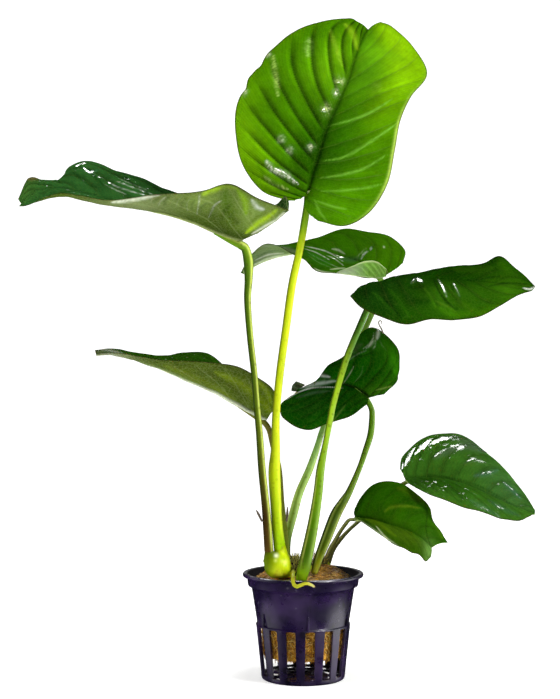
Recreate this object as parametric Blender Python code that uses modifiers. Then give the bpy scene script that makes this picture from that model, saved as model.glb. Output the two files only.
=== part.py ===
"""An anubias barteri growing in its slotted net pot.

Metres, +Z up. The origin is the middle of the pot's base, on the surface it stands on.
The front of the plant faces -Y.

The pot, the stalks and the thicknesses are given in millimetres. The outlines of the leaves
and the routes of the stalks are sightings: where each point shows in a front view that is
560 x 699 picture units, and how far in millimetres it lies behind the pot's axis.
"""

from math import pi, radians, sin
from typing import NamedTuple

import bmesh
import bpy
from mathutils import Matrix, Vector

MM = 0.001
GAP = 0.3
BED_GAP = 0.4

# The front view that the sightings are taken in
EYE = Vector((-10.5, -690.0, 149.4))
VIEW_CENTRE = (280.0, 349.5)
VIEW_UNITS_PER_UNIT_SLOPE = 1514.6

# Net pot
POT_HEIGHT = 48.0
POT_STEPS = 45
RIM_RADIUS = 27.5
RIM_THICKNESS = 1.7
COLLAR_RADIUS = 25.4
COLLAR_FOOT_Z = 42.2
WALL_TOP_RADIUS = 23.4
WALL_FOOT_RADIUS = 20.9
WALL_FOOT_Z = 25.3
SLOTTED_TOP_RADIUS = 21.5
BASE_RADIUS = 18.9
WALL = 0.9
FLOOR = 1.2
SLOTS = 15
FIRST_SLOT_DEG = 8.0
SLOT_WIDTH = 4.4
SLOT_FOOT_Z = 2.2
SLOT_TOP_Z = 24.3
BASE_OPENINGS = 8
BASE_BAR_WIDTH = 2.2
BASE_RINGS = ((4.6, 9.0), (11.4, 16.0))
STACKING_RIBS = 6
FIRST_RIB_DEG = 5.4
RIB_SIZE = (0.6, 1.8, 6.0)
RIB_RADIUS = 21.3
RIB_Z = 28.2

# Rock wool plug
PLUG_TOP_Z = 48.2
PLUG_TOP_RADIUS = 21.0
PLUG_FOOT_Z = 10.2
PLUG_FOOT_RADIUS = 18.2
PLUG_STEPS = 28

# Leaf blades
BLADE_THICKNESS = 0.8
BLADE_ROWS = 15
BLADE_COLUMNS = 8

STALK_STEP = 11.0
MATERIALS = {
    "pot_plastic": ((0.022, 0.016, 0.035, 1.0), 0.38),
    "rock_wool": ((0.34, 0.19, 0.05, 1.0), 0.95),
    "stalk_green": ((0.16, 0.36, 0.03, 1.0), 0.4),
    "young_green": ((0.45, 0.62, 0.02, 1.0), 0.35),
    "blade_green": ((0.03, 0.14, 0.02, 1.0), 0.25),
    "dead_brown": ((0.10, 0.05, 0.02, 1.0), 0.8),
}


class Leaf(NamedTuple):
    """One leaf: rows of (midrib, left margin, right margin), then its stalk.

    Left and right are as seen from above the blade with its tip pointing away.
    arch is how far each half bows up between midrib and margin, as a share of its width.
    The stalk's route is (sighting, radius in mm), from its foot to the blade.
    """

    name: str
    rows: list
    arch: tuple
    stalk: list
    stalk_material: str = "stalk_green"


LEAVES = [
    Leaf(
        "top_leaf",
        rows=[
            ((308, 193, -17), (288, 201, -21), (318, 221, -24)),
            ((310, 184, -17), (262, 191, -25), (345, 226, -25)),
            ((313, 172, -16), (243, 166, -27), (370, 212, -24)),
            ((318, 157, -15), (236, 138, -27), (388, 183, -22)),
            ((323, 139, -13), (236, 108, -25), (395, 150, -19)),
            ((330, 121, -11), (247, 83, -21), (400, 122, -15)),
            ((339, 101, -8), (262, 61, -15), (411, 97, -10)),
            ((348, 80, -4), (289, 35, -7), (427, 74, -3)),
            ((355, 57, 2), (318, 21, 1), (413, 46, 5)),
            ((362, 38, 7), (346, 16, 8), (392, 26, 9)),
            ((366, 28, 10), (360, 21, 10), (376, 26, 11)),
        ],
        arch=(0.08, 0.10),
        stalk=[
            ((280, 549, -13), 2.7),
            ((277.5, 526, -13), 2.4),
            ((276, 503, -13), 2.5),
            ((274.5, 472, -13), 2.7),
            ((275.5, 448, -13), 2.1),
            ((276, 415, -13), 1.8),
            ((280, 372, -13), 1.8),
            ((286, 328, -12), 1.8),
            ((292, 285, -11), 1.8),
            ((300, 248, -11), 1.7),
            ((304.5, 222, -12), 1.7),
            ((307, 205, -13.5), 1.6),
        ],
        stalk_material="young_green",
    ),
    Leaf(
        "upper_left_leaf",
        rows=[
            ((243, 239, -20), (289, 204, -44), (274, 213, 8)),
            ((229, 235, -20), (264, 202, -52), (252, 199, 15)),
            ((212, 228, -20), (236, 185, -55), (228, 196, 19)),
            ((190, 219, -20), (207, 188, -55), (200, 198, 21)),
            ((166, 212, -20), (178, 193, -53), (168, 192, 22)),
            ((140, 206, -20), (149, 195.5, -50), (142, 179, 21)),
            ((114, 200, -20), (112, 199, -46), (119, 170, 18)),
            ((92, 194, -20), (80, 195.5, -41), (90, 161, 13)),
            ((72, 189, -20), (56, 193.5, -36), (68, 174, 6)),
            ((50, 187, -21), (38, 201, -32), (46, 179.5, -5)),
            ((32, 192, -22), (26, 205.5, -27), (28, 179, -14)),
            ((21, 203, -23), (19, 206, -24), (18, 199, -22)),
        ],
        arch=(-0.10, 0.08),
        stalk=[
            ((269, 551, -15), 2.0),
            ((267.5, 526, -16), 2.0),
            ((265.5, 503, -17), 1.8),
            ((262, 469, -17.5), 1.7),
            ((259.5, 434.5, -18), 1.6),
            ((257, 408, -18), 1.5),
            ((254, 372, -18), 1.5),
            ((250, 336, -18), 1.5),
            ((247, 301, -18), 1.5),
            ((248.5, 278, -18), 1.7),
            ((248, 259, -18), 1.8),
            ((245.5, 249, -19), 1.7),
        ],
    ),
    Leaf(
        "lower_left_leaf",
        rows=[
            ((267, 419, 2), (279, 400, -6), (276, 402, 12)),
            ((252, 411, 1), (271, 387, -9), (264, 393, 18)),
            ((236, 402, 0), (256, 376, -12), (246, 384, 23)),
            ((216, 391, 0), (238, 367, -17), (228, 370, 26)),
            ((195, 382, 0), (214, 362, -24), (209, 353, 27)),
            ((174, 373, 0), (189, 361.5, -26), (184, 353, 25)),
            ((154, 364, 0), (165, 359.5, -23), (163, 355.5, 19)),
            ((134, 357, 0), (142, 357, -15), (138, 354, 12)),
            ((113, 353, 0), (118, 352.5, -8), (114, 348.5, 7)),
            ((96, 354, 0), (98, 353, -3), (95, 350, 3)),
        ],
        arch=(-0.10, 0.08),
        stalk=[
            ((286.5, 560, -4), 1.6),
            ((285.5, 544, -4), 1.6),
            ((284, 526, -4), 1.5),
            ((281.5, 503, -3), 1.4),
            ((279, 469, -2), 1.3),
            ((273, 446, -1), 1.3),
            ((269.5, 431, 1), 1.3),
        ],
    ),
    Leaf(
        "upper_middle_leaf",
        rows=[
            ((383, 276, 30), (386, 268, 16), (403, 263, 46)),
            ((374, 269, 30), (372, 277.5, 10), (405, 250, 56)),
            ((364, 263, 30), (352, 275, 4), (391, 237, 62)),
            ((350, 258, 31), (333, 273, 1), (369, 232, 64)),
            ((334, 254, 32), (316, 270, 1), (345, 228, 64)),
            ((318, 250.5, 33), (304, 260, 5), (321, 237, 60)),
            ((302, 250.5, 34), (292, 253, 9), (303, 241, 55)),
            ((284, 253.5, 34), (280, 247, 15), (283, 245, 49)),
            ((266, 259, 34), (264, 244, 21), (262, 247, 43)),
            ((252, 266, 33), (250, 256, 26), (249, 259, 38)),
            ((243, 273, 31), (242, 270, 30), (240.5, 273, 33)),
        ],
        arch=(0.06, 0.08),
        stalk=[
            ((288, 568, 4), 1.6),
            ((287, 555, 2.5), 1.6),
            ((287.7, 538, 2), 1.7),
            ((293, 515, 3), 2.0),
            ((299.5, 492, 5), 1.9),
            ((309.5, 469, 8), 1.8),
            ((317.5, 446, 13), 1.5),
            ((323.5, 427, 18), 1.4),
            ((342, 380, 29), 1.3),
            ((358, 345, 33), 1.3),
            ((370, 318, 34), 1.3),
            ((379, 297, 33), 1.4),
            ((383, 286, 32), 1.4),
        ],
    ),
    Leaf(
        "upper_right_leaf",
        rows=[
            ((387, 282, -6), (374, 286, 14), (350, 296, -22)),
            ((400, 279, -6), (392, 281, 24), (362, 308, -34)),
            ((414, 277.5, -6), (416, 278, 29), (384, 318, -39)),
            ((430, 278, -6), (440, 270, 30), (408, 324, -41)),
            ((448, 279, -6), (463, 266, 29), (431, 319.5, -40)),
            ((466, 280, -6), (483, 263, 25), (455, 319.5, -37)),
            ((484, 281.5, -6), (500, 256.5, 19), (479, 317, -32)),
            ((502, 283, -7), (514, 266, 11), (501, 305, -25)),
            ((519, 285, -8), (527, 278, 2), (519, 295, -17)),
            ((534, 288.5, -9), (535, 286, -8), (532, 291, -10)),
        ],
        arch=(0.06, 0.10),
        stalk=[
            ((301.5, 578, -19.5), 2.6),
            ((305.5, 561, -19), 2.8),
            ((310.5, 538, -18), 2.6),
            ((314.7, 515, -17), 2.3),
            ((318, 492, -16), 2.1),
            ((320.5, 469, -15), 1.9),
            ((325, 446, -14), 1.4),
            ((329.5, 423, -13.5), 1.4),
            ((334.5, 399, -13), 1.4),
            ((346, 360, -11), 1.5),
            ((359, 328, -10), 1.5),
            ((369, 306, -7), 1.5),
            ((378, 293, -5), 1.4),
        ],
    ),
    Leaf(
        "centre_leaf",
        rows=[
            ((369, 398, 13), (366, 405, 9), (384, 394.5, 19)),
            ((361, 391, 12), (352, 415.5, 3), (397, 381, 24)),
            ((353, 385.5, 11), (338, 420.5, 0), (400, 364, 26)),
            ((345, 383, 9), (325, 424.5, -2), (397, 348, 26)),
            ((337, 383.5, 7), (311, 430, -4), (378, 328.5, 24)),
            ((329, 385, 5), (298, 428, -5), (364, 331, 21)),
            ((321, 386.5, 3), (288, 422, -6), (345, 354, 16)),
            ((312, 388.5, 1), (281, 415, -6), (328, 365.5, 10)),
            ((304, 391, -1), (281, 404, -5), (318, 379, 5)),
            ((295, 394, -3), (289, 397, -4), (298, 389, 0)),
        ],
        arch=(0.08, 0.10),
        stalk=[
            ((314.5, 572, -9), 1.6),
            ((319.5, 556, -7), 2.0),
            ((326.5, 538, -5), 2.4),
            ((335.5, 515, -1), 2.5),
            ((343, 502, 1), 2.1),
            ((349.5, 491, 3), 1.6),
            ((359, 469, 7), 1.3),
            ((365, 452, 9), 1.4),
            ((370.5, 434, 11), 1.5),
            ((372, 416, 13), 1.4),
            ((371, 408, 14), 1.3),
        ],
    ),
    Leaf(
        "right_leaf",
        rows=[
            ((405, 479, 19), (400, 469, 28), (409, 484, 10)),
            ((415, 477.5, 18), (402, 457, 37), (422, 491, -2)),
            ((427, 477, 17), (413, 445.5, 42), (439, 498, -10)),
            ((441, 478, 15), (431, 435, 45), (456, 504.5, -15)),
            ((456, 481, 12), (452, 433, 45), (473, 509.5, -17)),
            ((472, 487, 9), (471, 440.5, 42), (490, 515, -18)),
            ((488, 494, 6), (490, 455, 36), (505, 519, -17)),
            ((504, 501.5, 4), (508, 473, 28), (518, 521, -12)),
            ((520, 508.5, 2), (523, 491, 17), (528, 517, -6)),
            ((535, 513.5, 0), (535, 510, 3), (533, 514.5, -2)),
        ],
        arch=(0.12, 0.10),
        stalk=[
            ((328.5, 562.5, 9), 1.2),
            ((333, 550, 12), 1.1),
            ((340, 540, 14), 1.0),
            ((348, 531, 16), 0.9),
            ((359, 521, 19), 0.9),
            ((374, 508.5, 21), 0.9),
            ((388, 497, 21), 0.9),
            ((399, 487, 20), 1.0),
        ],
    ),
    Leaf(
        "low_right_leaf",
        rows=[
            ((354, 517, 2), (355, 508.5, 6), (361, 521.5, -5)),
            ((362, 517.5, -1), (362, 495, 10), (373, 530, -14)),
            ((371, 519, -4), (374, 484.5, 13), (385, 538, -21)),
            ((381, 521.5, -7), (387, 480.5, 13), (395, 545, -26)),
            ((391, 524.5, -10), (402, 484.5, 12), (404, 548.5, -30)),
            ((401, 527.5, -13), (417, 493, 9), (411, 552, -33)),
            ((411, 531.5, -17), (428, 505.5, 3), (418, 554.5, -34)),
            ((420, 536.5, -20), (433, 520, -5), (423, 558, -34)),
            ((427, 542, -23), (441, 532.5, -12), (426, 561.5, -33)),
            ((431.5, 547, -25), (448, 542.5, -19), (431, 557, -31)),
        ],
        arch=(0.14, 0.12),
        stalk=[
            ((324.5, 564.5, 3.5), 1.2),
            ((330, 550, 4), 1.1),
            ((335, 541, 4), 1.0),
            ((340, 532, 4), 0.9),
            ((346, 523.5, 3.5), 0.9),
            ((349.6, 519.8, 3), 0.8),
        ],
    ),
]

# Rhizome: the bulb at its growing end, and the creeping stem behind it
BULB_CENTRE = (277.5, 565.5, -15)
BULB_RADII = (6.0, 5.6, 6.4)
CREEPING_STEM = [
    ((279, 569, -12), 4.0),
    ((291, 571.5, -6), 4.2),
    ((303, 571, 0), 3.8),
    ((316, 570, 5), 3.4),
    ((327, 569, 9), 2.6),
]

# Root, dead stub and bracts: (sighting, radius)
ROOT_ROUTE = [
    ((293.2, 570, -17.5), 0.7),
    ((293.2, 572.5, -23.0), 0.9),
    ((292.8, 577.5, -27.6), 0.9),
    ((293.6, 583.5, -29.6), 0.9),
    ((297, 586.4, -29.6), 0.9),
    ((304, 583.8, -29.6), 0.8),
    ((309, 583.8, -29.4), 0.8),
    ((314, 586.4, -29.0), 0.6),
]
STUB_ROUTE = [
    ((294.5, 574, -15.0), 1.4),
    ((294.8, 566, -14.0), 1.6),
    ((294.5, 557, -12.5), 1.3),
]
BRACTS = {
    "left_bract": [((261.8, 521, -17.5), 0.5), ((258.4, 514, -18), 0.6), ((256.2, 510, -18.5), 0.3)],
    "right_bract": [((286.6, 521, -14), 0.5), ((287.2, 514, -14.5), 0.6), ((287.5, 507, -15), 0.3)],
}


def seen(u: float, v: float, depth: float) -> Vector:
    """The point in millimetres that shows at (u, v) and lies depth behind the pot's axis."""
    reach = (depth - EYE.y) / VIEW_UNITS_PER_UNIT_SLOPE
    x = EYE.x + (u - VIEW_CENTRE[0]) * reach
    z = EYE.z - (v - VIEW_CENTRE[1]) * reach
    return Vector((x, depth, z))


def smooth(points: list, t: float) -> Vector:
    """The point at t, 0 to 1, on the smooth line through the given points."""
    place = min(max(t, 0.0), 1.0) * (len(points) - 1)
    i = min(int(place), len(points) - 2)
    f = place - i
    p1, p2 = points[i], points[i + 1]
    p0 = points[i - 1] if i > 0 else p1 * 2 - p2
    p3 = points[i + 2] if i + 2 < len(points) else p2 * 2 - p1
    return 0.5 * (
        p1 * 2
        + (p2 - p0) * f
        + (p0 * 2 - p1 * 5 + p2 * 4 - p3) * f**2
        + (p1 * 3 - p0 - p2 * 3 + p3) * f**3
    )


def new_collection(name: str) -> bpy.types.Collection:
    collection = bpy.data.collections.new(name)
    bpy.context.scene.collection.children.link(collection)
    return collection


def material(name: str) -> bpy.types.Material:
    """The named material, made at its first use."""
    found = bpy.data.materials.get(name)
    if found:
        return found
    colour, roughness = MATERIALS[name]
    made = bpy.data.materials.new(name)
    made.use_nodes = True
    shader = made.node_tree.nodes["Principled BSDF"]
    shader.inputs["Base Color"].default_value = colour
    shader.inputs["Roughness"].default_value = roughness
    made.diffuse_color = colour
    return made


def add_object(name: str, data, collection: bpy.types.Collection, slot: str = "") -> bpy.types.Object:
    obj = bpy.data.objects.new(name, data)
    collection.objects.link(obj)
    if slot:
        data.materials.append(material(slot))
    return obj


def add_cutter(name: str, shape: bmesh.types.BMesh, collection: bpy.types.Collection) -> bpy.types.Object:
    """A helper object made of the shape, left out of renders."""
    mesh = bpy.data.meshes.new(name)
    shape.to_mesh(mesh)
    shape.free()
    obj = add_object(name, mesh, collection)
    obj.hide_render = True
    obj.display_type = "WIRE"
    return obj


def turned(name: str, profile: list, steps: int, collection: bpy.types.Collection, slot: str):
    """A solid turned about the Z axis from a profile of (radius, z) in millimetres."""
    mesh = bpy.data.meshes.new(name)
    points = [(radius * MM, 0.0, z * MM) for radius, z in profile]
    mesh.from_pydata(points, [(i, i + 1) for i in range(len(points) - 1)], [])
    obj = add_object(name, mesh, collection, slot)
    screw = obj.modifiers.new("Turn", "SCREW")
    screw.axis = "Z"
    screw.steps = steps
    screw.render_steps = steps
    screw.use_merge_vertices = True
    screw.merge_threshold = 0.00005
    screw.use_smooth_shade = True
    return obj


def apply_boolean(obj: bpy.types.Object, other: bpy.types.Object, operation: str) -> None:
    modifier = obj.modifiers.new(other.name, "BOOLEAN")
    modifier.operation = operation
    modifier.solver = "EXACT"
    modifier.object = other


def box_ring(count: int, first_deg: float, radius: float, size: tuple, z: float) -> bmesh.types.BMesh:
    """Boxes of size (along the ring, across the wall, tall), evenly spaced round the pot."""
    shape = bmesh.new()
    for k in range(count):
        angle = radians(first_deg + k * 360.0 / count)
        place = (
            Matrix.Rotation(angle, 4, "Z")
            @ Matrix.Translation((0.0, -radius * MM, z * MM))
            @ Matrix.Diagonal((size[0] * MM, size[1] * MM, size[2] * MM, 1.0))
        )
        bmesh.ops.create_cube(shape, size=1.0, matrix=place)
    return shape


def base_openings() -> bmesh.types.BMesh:
    """Curved openings in two rings of the base, with a bar between each and the next."""
    shape = bmesh.new()
    pitch = 2 * pi / BASE_OPENINGS
    for inner, outer in BASE_RINGS:
        bar = BASE_BAR_WIDTH / (inner + outer) * 2
        for k in range(BASE_OPENINGS):
            start = k * pitch + bar / 2
            corners = [(inner, -FLOOR), (outer, -FLOOR), (outer, 2 * FLOOR), (inner, 2 * FLOOR)]
            turn = Matrix.Rotation(start, 3, "Z")
            ring = [shape.verts.new(turn @ Vector((r * MM, 0.0, z * MM))) for r, z in corners]
            face = shape.faces.new(ring)
            bmesh.ops.spin(
                shape,
                geom=[face, *face.verts, *face.edges],
                cent=(0.0, 0.0, 0.0),
                axis=(0.0, 0.0, 1.0),
                angle=pitch - bar,
                steps=3,
            )
    bmesh.ops.recalc_face_normals(shape, faces=shape.faces)
    return shape


def make_pot(parts: bpy.types.Collection, cutters: bpy.types.Collection) -> None:
    """The net pot: rolled rim, collar, wall, slotted lower wall and base grid."""
    rim_foot = POT_HEIGHT - RIM_THICKNESS
    profile = [
        (0.0, FLOOR),
        (BASE_RADIUS - WALL - 0.2, FLOOR),
        (SLOTTED_TOP_RADIUS - WALL - 0.4, WALL_FOOT_Z - 1.4),
        (WALL_FOOT_RADIUS - WALL, WALL_FOOT_Z),
        (WALL_TOP_RADIUS - WALL, COLLAR_FOOT_Z),
        (COLLAR_RADIUS - WALL - 0.3, COLLAR_FOOT_Z + 0.9),
        (COLLAR_RADIUS, POT_HEIGHT),
        (RIM_RADIUS - 0.6, POT_HEIGHT),
        (RIM_RADIUS, POT_HEIGHT - 0.6),
        (RIM_RADIUS - 0.3, rim_foot),
        (COLLAR_RADIUS + 0.1, rim_foot),
        (COLLAR_RADIUS - 0.3, COLLAR_FOOT_Z),
        (WALL_TOP_RADIUS, COLLAR_FOOT_Z - 0.9),
        (WALL_FOOT_RADIUS, WALL_FOOT_Z),
        (SLOTTED_TOP_RADIUS, WALL_FOOT_Z - 0.5),
        (BASE_RADIUS + 0.1, 0.9),
        (BASE_RADIUS - 0.6, 0.0),
        (0.0, 0.0),
    ]
    pot = turned("net_pot", profile, POT_STEPS, parts, "pot_plastic")
    slot_size = (SLOT_WIDTH, 8.0, SLOT_TOP_Z - SLOT_FOOT_Z)
    slot_z = (SLOT_TOP_Z + SLOT_FOOT_Z) / 2
    slots = box_ring(SLOTS, FIRST_SLOT_DEG, 19.5, slot_size, slot_z)
    ribs = box_ring(STACKING_RIBS, FIRST_RIB_DEG, RIB_RADIUS, RIB_SIZE, RIB_Z)
    apply_boolean(pot, add_cutter("stacking_ribs", ribs, cutters), "UNION")
    apply_boolean(pot, add_cutter("wall_slots", slots, cutters), "DIFFERENCE")
    apply_boolean(pot, add_cutter("base_grid", base_openings(), cutters), "DIFFERENCE")


def make_plug(parts: bpy.types.Collection) -> None:
    """The rock wool plug, wedged in the tapering pot with its domed top at the rim."""
    shoulder = PLUG_TOP_Z - 3.2
    profile = [
        (0.0, PLUG_TOP_Z),
        (9.0, PLUG_TOP_Z - 0.2),
        (16.0, PLUG_TOP_Z - 0.8),
        (19.6, PLUG_TOP_Z - 1.8),
        (PLUG_TOP_RADIUS, shoulder),
        (WALL_FOOT_RADIUS - WALL - GAP - 0.2, WALL_FOOT_Z),
        (PLUG_FOOT_RADIUS, PLUG_FOOT_Z + 0.8),
        (PLUG_FOOT_RADIUS - 0.8, PLUG_FOOT_Z),
        (0.0, PLUG_FOOT_Z),
    ]
    turned("rock_wool_plug", profile, PLUG_STEPS, parts, "rock_wool")


def make_tube(name: str, route: list, parts: bpy.types.Collection, slot: str, step: float, extra=0.0):
    """A round tapering stem along a smooth line through the route, extra mm thicker all round.

    Each stop on the route is a sighting, or a point in millimetres, with the radius there.
    """
    places = [stop if isinstance(stop, Vector) else seen(*stop) for stop, _ in route]
    widths = [Vector((radius + extra, 0.0, 0.0)) for _, radius in route]
    places[0] -= (places[1] - places[0]).normalized() * extra
    places[-1] += (places[-1] - places[-2]).normalized() * extra
    length = sum((b - a).length for a, b in zip(places, places[1:]))
    count = max(len(route), round(length / step) + 1)
    curve = bpy.data.curves.new(name, "CURVE")
    curve.dimensions = "3D"
    curve.bevel_depth = MM
    curve.bevel_resolution = 2
    curve.use_fill_caps = True
    spline = curve.splines.new("POLY")
    spline.points.add(count - 1)
    for i, point in enumerate(spline.points):
        t = i / (count - 1)
        point.co = (*(smooth(places, t) * MM), 1.0)
        point.radius = smooth(widths, t).x
    return add_object(name, curve, parts, slot)


def as_mesh(stem: bpy.types.Object, collection: bpy.types.Collection) -> bpy.types.Object:
    """The stem's curve made a closed mesh, as a helper left out of renders."""
    bpy.context.view_layer.update()
    graph = bpy.context.evaluated_depsgraph_get()
    mesh = bpy.data.meshes.new_from_object(stem.evaluated_get(graph))
    shape = bmesh.new()
    shape.from_mesh(mesh)
    bmesh.ops.remove_doubles(shape, verts=shape.verts, dist=0.00001)
    name = stem.name
    bpy.data.objects.remove(stem)
    bpy.data.meshes.remove(mesh)
    return add_cutter(name, shape, collection)


def bulb_shape(extra: float) -> bmesh.types.BMesh:
    """The bulb, extra mm larger all round."""
    shape = bmesh.new()
    size = [(radius + extra) * MM for radius in BULB_RADII]
    place = Matrix.Translation(seen(*BULB_CENTRE) * MM) @ Matrix.Diagonal((*size, 1.0))
    bmesh.ops.create_uvsphere(shape, u_segments=16, v_segments=10, radius=1.0, matrix=place)
    return shape


def make_rhizome(parts: bpy.types.Collection, cutters: bpy.types.Collection) -> None:
    """The bulb with the creeping stem behind it, bedded in the plug's top."""
    mesh = bpy.data.meshes.new("rhizome")
    shape = bulb_shape(0.0)
    shape.to_mesh(mesh)
    shape.free()
    mesh.shade_smooth()
    rhizome = add_object("rhizome", mesh, parts, "young_green")
    stem = make_tube("creeping_stem", CREEPING_STEM, cutters, "young_green", 5.0)
    apply_boolean(rhizome, as_mesh(stem, cutters), "UNION")
    plug = bpy.data.objects["rock_wool_plug"]
    bed = make_tube("stem_bed", CREEPING_STEM, cutters, "rock_wool", 5.0, BED_GAP)
    apply_boolean(plug, add_cutter("bulb_bed", bulb_shape(BED_GAP), cutters), "DIFFERENCE")
    apply_boolean(plug, as_mesh(bed, cutters), "DIFFERENCE")


def blade_point(leaf: Leaf, across: float, along: float) -> Vector:
    """The point of the blade's upper face, across from -1 (left) to 1 (right), along 0 to 1."""
    lines = [[seen(*row[k]) for row in leaf.rows] for k in range(3)]
    middle = smooth(lines[0], along)
    margin = smooth(lines[1 if across < 0 else 2], along)
    other = smooth(lines[2 if across < 0 else 1], along)
    half = margin - middle
    ahead = smooth(lines[0], along + 0.02) - smooth(lines[0], along - 0.02)
    rightward = (other - margin) if across < 0 else (margin - other)
    up = rightward.cross(ahead).normalized()
    share = abs(across)
    arch = leaf.arch[0 if across < 0 else 1] * half.length
    return middle + half * share + up * arch * sin(pi * share)


def stalk_top(leaf: Leaf) -> Vector:
    """Where the stalk's end is centred: just under the base of the midrib."""
    base = seen(*leaf.rows[0][0])
    ahead = seen(*leaf.rows[1][0]) - base
    rightward = seen(*leaf.rows[1][2]) - seen(*leaf.rows[1][1])
    up = rightward.cross(ahead).normalized()
    radius = leaf.stalk[-1][1]
    return base - up * (BLADE_THICKNESS + radius + GAP)


def make_blade(leaf: Leaf, parts: bpy.types.Collection) -> None:
    """The blade: a grid laid through the leaf's rows, then given its thickness."""
    shape = bmesh.new()
    bmesh.ops.create_grid(shape, x_segments=BLADE_COLUMNS, y_segments=BLADE_ROWS, size=1.0)
    for vert in shape.verts:
        vert.co = blade_point(leaf, vert.co.x, (vert.co.y + 1.0) / 2.0) * MM
    name = f"{leaf.name}_blade"
    mesh = bpy.data.meshes.new(name)
    shape.to_mesh(mesh)
    shape.free()
    mesh.shade_smooth()
    obj = add_object(name, mesh, parts, "blade_green")
    solidify = obj.modifiers.new("Thickness", "SOLIDIFY")
    solidify.thickness = BLADE_THICKNESS * MM
    solidify.offset = -1.0


def main() -> None:
    for obj in list(bpy.data.objects):
        bpy.data.objects.remove(obj)
    parts = new_collection("anubias_in_net_pot")
    cutters = new_collection("cutters")
    make_pot(parts, cutters)
    make_plug(parts)
    make_rhizome(parts, cutters)
    make_tube("root", ROOT_ROUTE, parts, "young_green", 2.0)
    make_tube("dead_leaf_stub", STUB_ROUTE, parts, "dead_brown", 3.0)
    for name, route in BRACTS.items():
        make_tube(name, route, parts, "dead_brown", 3.0)
    for leaf in LEAVES:
        route = [*leaf.stalk, (stalk_top(leaf), leaf.stalk[-1][1])]
        make_tube(f"{leaf.name}_stalk", route, parts, leaf.stalk_material, STALK_STEP)
        make_blade(leaf, parts)


main()
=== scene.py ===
"""An anubias barteri in its slotted net pot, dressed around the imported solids.

Named sizes are in millimetres and meshes are in metres, +Z up, with the origin in the middle of
the pot's base. Outlines and routes are sightings in a front view of 560 x 699 picture units,
each with how far it lies behind the pot's axis, as in the part's own source.
"""

from __future__ import annotations

import logging
from dataclasses import dataclass, replace
from enum import Enum
from functools import cache
from math import cos, pi, radians, sin
from typing import Callable, Sequence

import bpy
import numpy as np
from mathutils import Matrix, Vector


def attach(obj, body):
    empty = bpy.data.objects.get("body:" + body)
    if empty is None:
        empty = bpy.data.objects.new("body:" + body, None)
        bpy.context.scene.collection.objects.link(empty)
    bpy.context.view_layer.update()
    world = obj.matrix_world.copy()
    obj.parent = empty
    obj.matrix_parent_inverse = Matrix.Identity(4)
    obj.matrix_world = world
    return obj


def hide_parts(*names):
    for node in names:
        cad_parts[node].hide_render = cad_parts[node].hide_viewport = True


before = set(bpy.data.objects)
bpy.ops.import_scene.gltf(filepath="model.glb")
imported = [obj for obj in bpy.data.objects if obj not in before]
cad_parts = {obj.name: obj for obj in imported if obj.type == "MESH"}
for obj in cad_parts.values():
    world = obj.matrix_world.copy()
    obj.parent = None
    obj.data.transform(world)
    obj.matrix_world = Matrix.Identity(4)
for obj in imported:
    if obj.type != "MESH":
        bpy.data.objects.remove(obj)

MM = 0.001
TISSUE_DEPTH = 2.0 * MM
SHEATH_MARGIN = (120, 92, 48)
PALE_BLOOM = (150, 164, 134)
FLAP_VEINING = 0.8
ROOT_BODY = "root"
TINT = "tint"
WETNESS = "wetness"
VEINING = "veining"
VEIN_MAP = "veins"
EYE = np.array([-10.5, -690.0, 149.4])
VIEW_CENTRE = (280.0, 349.5)
VIEW_UNITS_PER_UNIT_SLOPE = 1514.6
PICTURE_HEIGHT = 699.0
SENSOR = 36.0

log = logging.getLogger("anubias")
Tone = tuple[int, int, int]
Sighting = tuple[float, float, float]
Array = np.ndarray
Route = tuple[tuple[Sighting, float], ...]
Piece = bpy.types.Object
Finish = bpy.types.Material
Socket = bpy.types.NodeSocket


class Slot(Enum):
    """The record's material slots."""

    POT = "pot_plastic"
    WOOL = "rock_wool"
    STALK = "stalk_green"
    YOUNG = "young_green"
    BLADE = "blade_green"
    DEAD = "dead_brown"


class Face(Enum):
    """Which side of a blade a patch of colour is on."""

    UPPER = 0
    LOWER = 1
    BOTH = 2


def seen(u: float, v: float, depth: float) -> Array:
    """Find the point that shows at a place in the front view.

    Args:
        u: How far right it shows, in picture units.
        v: How far down it shows, in picture units.
        depth: How far it lies behind the pot's axis, in millimetres.

    Returns:
        The point, in millimetres.
    """
    reach = (depth - EYE[1]) / VIEW_UNITS_PER_UNIT_SLOPE
    return np.array([EYE[0] + (u - VIEW_CENTRE[0]) * reach, depth, EYE[2] - (v - VIEW_CENTRE[1]) * reach])


def sighted(stops: Sequence[Sighting]) -> Array:
    """Find the points that some sightings stand for, one a row, in millimetres."""
    return np.array([seen(*stop) for stop in stops])


def shown(points: Array) -> Array:
    """Find where points, in millimetres, show in the front view."""
    reach = (points[:, 1] - EYE[1]) / VIEW_UNITS_PER_UNIT_SLOPE
    right = VIEW_CENTRE[0] + (points[:, 0] - EYE[0]) / reach
    return np.column_stack([right, VIEW_CENTRE[1] - (points[:, 2] - EYE[2]) / reach])


def smooth_line(points: Array, t: Array) -> Array:
    """Read points on the smooth line through some stops.

    Args:
        points: The stops, one a row.
        t: Places along the line, 0 to 1.

    Returns:
        One row for each place.
    """
    padded = np.vstack([2 * points[0] - points[1], points, 2 * points[-1] - points[-2]])
    place = np.clip(t, 0.0, 1.0) * (len(points) - 1)
    i = np.minimum(place.astype(int), len(points) - 2)
    f = (place - i)[:, None]
    p0, p1, p2, p3 = padded[i], padded[i + 1], padded[i + 2], padded[i + 3]
    return 0.5 * (
        2 * p1
        + (p2 - p0) * f
        + (2 * p0 - 5 * p1 + 4 * p2 - p3) * f**2
        + (3 * p1 - p0 - 3 * p2 + p3) * f**3
    )


def unit(vectors: Array) -> Array:
    """Scale each row to length 1."""
    return vectors / np.maximum(np.linalg.norm(vectors, axis=-1, keepdims=True), 1e-9)


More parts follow.
